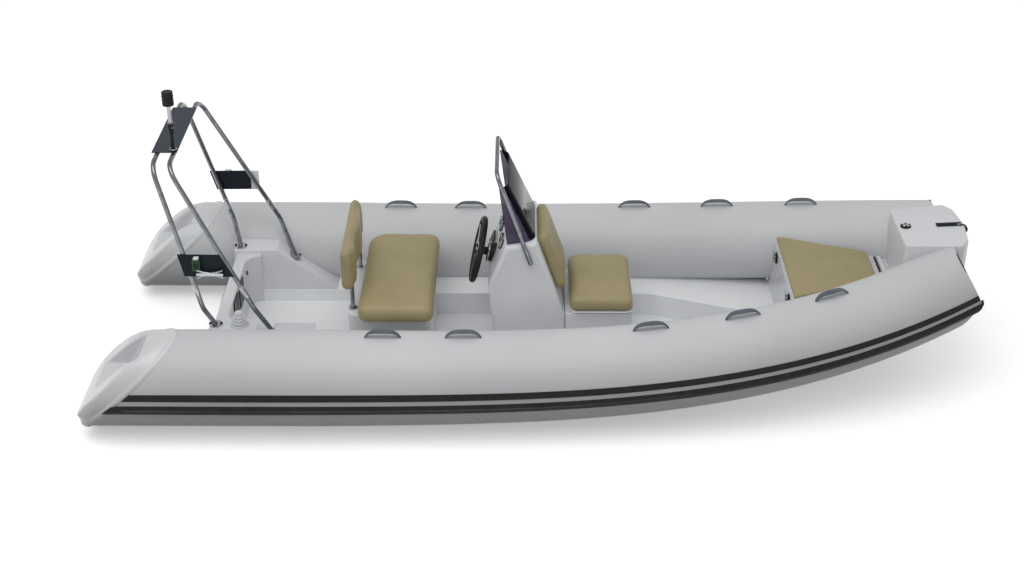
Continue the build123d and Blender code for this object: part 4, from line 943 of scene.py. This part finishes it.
# ---------------------------------------------------------------- helm
WHEEL_CENTRE = Vector((-0.398, 0, 0.681))
WHEEL_AXIS = Vector((-cos(radians(13)), 0, sin(radians(13))))
WHEEL_ACROSS = Vector((0, 1, 0))
WHEEL_UP = WHEEL_AXIS.cross(WHEEL_ACROSS)
WHEEL_R, GRIP_R = 0.182, 0.0174
SPOKE_REACH = (0.030, 0.075, 0.125, 0.170)
SPOKE_R = (0.013, 0.008, 0.0065, 0.009)
SPOKE_LIFT = 0.006
HUB_R, HUB_LIFT, WHEEL_CAP_R, WHEEL_CAP_DEPTH = 0.040, 0.008, 0.026, 0.007
BEZEL_R, BEZEL_BACK, BEZEL_THICK = 0.055, 0.060, 0.006
settle(ring(WHEEL_CENTRE, WHEEL_AXIS, WHEEL_R, GRIP_R, 72), "wheel_grip", GRIP, "steering_wheel")
hub_foot = WHEEL_CENTRE - WHEEL_AXIS * HUB_LIFT
spokes = [boss(hub_foot, WHEEL_AXIS, HUB_R, 2 * HUB_LIFT, 0.004, 40)]
for turn in (90, 210, 330):
    along = WHEEL_ACROSS * cos(radians(turn)) + WHEEL_UP * sin(radians(turn))
    line = [WHEEL_CENTRE + along * reach + WHEEL_AXIS * SPOKE_LIFT for reach in SPOKE_REACH]
    spokes.append(swept(line, SPOKE_R, 16))
settle(joined(spokes), "wheel_spokes", STEEL, "steering_wheel")
cap_foot = WHEEL_CENTRE + WHEEL_AXIS * HUB_LIFT
wheel_cap = boss(cap_foot, WHEEL_AXIS, WHEEL_CAP_R, WHEEL_CAP_DEPTH, 0.003, 40)
settle(wheel_cap, "wheel_cap", BLACK_PLASTIC, "steering_wheel")
bezel_ring = ring(WHEEL_CENTRE - WHEEL_AXIS * BEZEL_BACK, WHEEL_AXIS, BEZEL_R, BEZEL_THICK)
settle(bezel_ring, "helm_bezel_ring", STEEL)

AFT_SLOPE = Vector((0.101, 0, 0.251)).normalized()
AFT_NORMAL = Vector((-AFT_SLOPE.z, 0, AFT_SLOPE.x))
GAUGE_FOOT = Vector((-0.339, 0, 0.592)) + AFT_SLOPE * 0.218
GAUGE_Y = (-0.150, -0.070, 0.070, 0.150)
GAUGE_LIFT, RIM_R, RIM_THICK, FACE_R = 0.010, 0.0285, 0.0032, 0.025
NEEDLE_LIFT, NEEDLE_R = 0.0025, 0.0008
NEEDLE = AFT_SLOPE * 0.016 + Vector((0, 0.008, 0))
rims = []
faces = []
needles = []
for y in GAUGE_Y:
    place = GAUGE_FOOT + Vector((0, y, 0)) + AFT_NORMAL * GAUGE_LIFT
    rims.append(ring(place, AFT_NORMAL, RIM_R, RIM_THICK, 40))
    faces.append(boss(place, AFT_NORMAL, FACE_R, 0.0012, 0.0004, 32))
    pin = place + AFT_NORMAL * NEEDLE_LIFT
    needles.append(bar([pin, pin + NEEDLE], NEEDLE_R, 8))
settle(joined(rims), "gauge_rims", STEEL)
settle(joined(faces), "gauge_faces", BLACK_PLASTIC)
settle(joined(needles), "gauge_needles", PALE_PLASTIC)

# ---------------------------------------------------------------- windscreen
screen = rounded(copied("windscreen"), 0.0008, 1)
settle(screen, "screen_sheet", SHADED_ACRYLIC, replaced=["windscreen"])
screen.data.materials.append(ACRYLIC)
# The side panels take the violet acrylic; the rest of the sheet keeps the near-black copy, painted shade
SCREEN_SIDE_Y = 0.244
SCREEN_FOOT = (-0.075, 0.843)
SCREEN_RAKE = 0.458
for face in screen.data.polygons:
    front_x = SCREEN_FOOT[0] - (face.center.z - SCREEN_FOOT[1]) * SCREEN_RAKE
    at_side = abs(face.center.y) > SCREEN_SIDE_Y and face.center.x < front_x
    face.material_index = 1 if at_side else 0
RAIL = ((-0.092, 0.302, 0.745), (-0.285, 0.274, 1.290))
RAIL_BEND, RAIL_R = 0.060, 0.0128
STUD_PLACE, STUD_R, STUD_LENGTH = (-0.104, 0.284, 0.775), 0.0105, 0.018
rail_parts = [bar(bent(mirrored(RAIL), RAIL_BEND, 12), RAIL_R, 24)]
for side in (1, -1):
    place = (STUD_PLACE[0], side * STUD_PLACE[1], STUD_PLACE[2])
    rail_parts.append(boss(place, (0, side, 0), STUD_R, STUD_LENGTH, 0.001, 24))
settle(joined(rail_parts), "screen_rail", CHROME, replaced=["windscreen_rail"], angle=60)

# ---------------------------------------------------------------- bow
STRIP_LOW, STRIP_HIGH = (1.978, -0.172, 0.536), (2.004, 0.172, 0.550)
SEAM_ENDS, SEAM_R = ((1.968, -0.175, 0.538), (1.968, 0.175, 0.538)), 0.006
settle(block(STRIP_LOW, STRIP_HIGH, 0.005), "locker_hinge_strip", PALE_PLASTIC)
settle(bar(SEAM_ENDS, SEAM_R, 10), "locker_seam", BLACK_RUBBER)

LATCH_Y, LATCH_HALF, LEVER_HALF = 0.25, 0.018, 0.014
LATCH_X, LATCH_Z = (1.374, 1.392), (0.470, 0.512)
LEVER_FOOT_X, LEVER_TOP_X, LEVER_TOP_Z = 1.380, 1.372, 0.538
latch_parts = []
for y in (-LATCH_Y, LATCH_Y):
    body_low = (LATCH_X[0], y - LATCH_HALF, LATCH_Z[0])
    body_high = (LATCH_X[1], y + LATCH_HALF, LATCH_Z[1])
    latch_parts.append(block(body_low, body_high, 0.004))
    feet = [(LEVER_FOOT_X, y + reach, LATCH_Z[1]) for reach in (-LEVER_HALF, LEVER_HALF)]
    tops = [(LEVER_TOP_X, y + reach, LEVER_TOP_Z) for reach in (-LEVER_HALF, LEVER_HALF)]
    latch_parts.append(bar(bent([feet[0], *tops, feet[1]], 0.006, 6), 0.003, 10))
settle(joined(latch_parts), "latch_levers", STEEL)

fitting_low, fitting_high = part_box("bow_fitting")
fitting_top = Vector(((fitting_low.x + fitting_high.x) / 2, 0, fitting_high.z - 0.003))
settle(rounded(copied("bow_fitting"), 0.002), "bow_fitting_base", BLACK_PLASTIC, replaced=["bow_fitting"])
NOSE_UP = (-0.05, 0, 1)
DOT_RING_R, DOT_R = 0.017, 0.0062
dots = []
for turn in (45, 135, 225, 315):
    out = Vector((cos(radians(turn)), sin(radians(turn)), 0))
    dots.append(boss(fitting_top + out * DOT_RING_R, NOSE_UP, DOT_R, 0.006, 0.001, 20))
dots.append(ring(fitting_top + Vector((0, 0, 0.001)), NOSE_UP, 0.008, 0.0015, 24))
settle(joined(dots), "bow_fitting_dots", PALE_PLASTIC)

SLOT_AFT_X, SLOT_AFT_Z, SLOT_FORE_X, SLOT_FORE_Z = 2.262, 0.8455, 2.405, 0.8530
SLOT_Y, SLOT_EDGE_R = 0.0185, 0.0045
# A near-black bar lies along the middle of the slot and darkens it
SLOT_BAR_LINE = ((2.272, 0, 0.840), (2.300, 0, 0.843), (2.376, 0, 0.848))
SLOT_BAR_R = 0.0145
slot_edge = []
for y in (-SLOT_Y, SLOT_Y):
    line = [(SLOT_AFT_X, y, SLOT_AFT_Z), (SLOT_FORE_X, y, SLOT_FORE_Z)]
    slot_edge.append(bar(line, SLOT_EDGE_R, 10))
aft_edge = [(SLOT_AFT_X, -SLOT_Y, SLOT_AFT_Z), (SLOT_AFT_X, SLOT_Y, SLOT_AFT_Z)]
slot_edge.append(bar(aft_edge, SLOT_EDGE_R, 10))
settle(joined(slot_edge), "slot_edging", BLACK_RUBBER)
settle(bar(SLOT_BAR_LINE, SLOT_BAR_R, 20), "slot_dark_bar", NEAR_BLACK)

# ---------------------------------------------------------------- floor, light and camera
FLOOR_SIZE, FLOOR_ALBEDO, FLOOR_WHITE, FLOOR_GLOW = 120, 0.12, 0.98, 0.35
SKY_STRENGTH, KEY_PLACE, KEY_TARGET = 0.62, (-1.5, -3.0, 7.0), Vector((0, 0, 0.4))
KEY_SIZE, KEY_POWER = (7.0, 4.0), 200
CAMERA_PLACE, CAMERA_PITCH, CAMERA_YAW, CAMERA_LENS = (-0.164, -8.233, 5.106), 60.35, 0.26, 56.09
deselect()
bpy.ops.mesh.primitive_plane_add(size=FLOOR_SIZE, location=(0, 0, 0))
floor = bpy.context.object
floor.name = "floor"
floor_finish = bpy.data.materials.new("floor_pale")
floor_finish.use_nodes = True
tree = floor_finish.node_tree
plain = tree.nodes["Principled BSDF"]
plain.inputs["Base Color"].default_value = (FLOOR_ALBEDO, FLOOR_ALBEDO, FLOOR_ALBEDO, 1)
plain.inputs["Roughness"].default_value = 0.9
# The camera, metal and glass see it white, and a shadow still falls on it
bright = tree.nodes.new("ShaderNodeBsdfDiffuse")
bright.inputs["Color"].default_value = (FLOOR_WHITE, FLOOR_WHITE, FLOOR_WHITE, 1)
glow = tree.nodes.new("ShaderNodeEmission")
glow.inputs["Strength"].default_value = FLOOR_GLOW
lit = tree.nodes.new("ShaderNodeAddShader")
tree.links.new(bright.outputs[0], lit.inputs[0])
tree.links.new(glow.outputs[0], lit.inputs[1])
path = tree.nodes.new("ShaderNodeLightPath")
mix = tree.nodes.new("ShaderNodeMixShader")
seen = path.outputs["Is Camera Ray"]
for ray in ("Is Glossy Ray", "Is Transmission Ray"):
    either = tree.nodes.new("ShaderNodeMath")
    either.operation = "MAXIMUM"
    tree.links.new(seen, either.inputs[0])
    tree.links.new(path.outputs[ray], either.inputs[1])
    seen = either.outputs[0]
tree.links.new(seen, mix.inputs["Fac"])
tree.links.new(plain.outputs[0], mix.inputs[1])
tree.links.new(lit.outputs[0], mix.inputs[2])
tree.links.new(mix.outputs[0], tree.nodes["Material Output"].inputs["Surface"])
floor.data.materials.append(floor_finish)

world = bpy.data.worlds.new("studio") if scene.world is None else scene.world
scene.world = world
world.use_nodes = True
sky = world.node_tree.nodes["Background"]
sky.inputs["Color"].default_value = (1, 1, 1, 1)
sky.inputs["Strength"].default_value = SKY_STRENGTH

bpy.ops.object.light_add(type="AREA", location=KEY_PLACE)
key = bpy.context.object
key.name = "key"
key.data.shape = "RECTANGLE"
key.data.size, key.data.size_y = KEY_SIZE
key.data.energy = KEY_POWER
key.rotation_euler = (KEY_TARGET - key.location).to_track_quat("-Z", "Y").to_euler()

camera_data = bpy.data.cameras.new("camera")
camera_data.lens = CAMERA_LENS
camera_data.sensor_width = 36.0
camera = bpy.data.objects.new("camera", camera_data)
scene.collection.objects.link(camera)
camera.location = CAMERA_PLACE
camera.rotation_euler = (radians(CAMERA_PITCH), 0.0, radians(CAMERA_YAW))
scene.camera = camera
scene.view_settings.view_transform = "Standard"
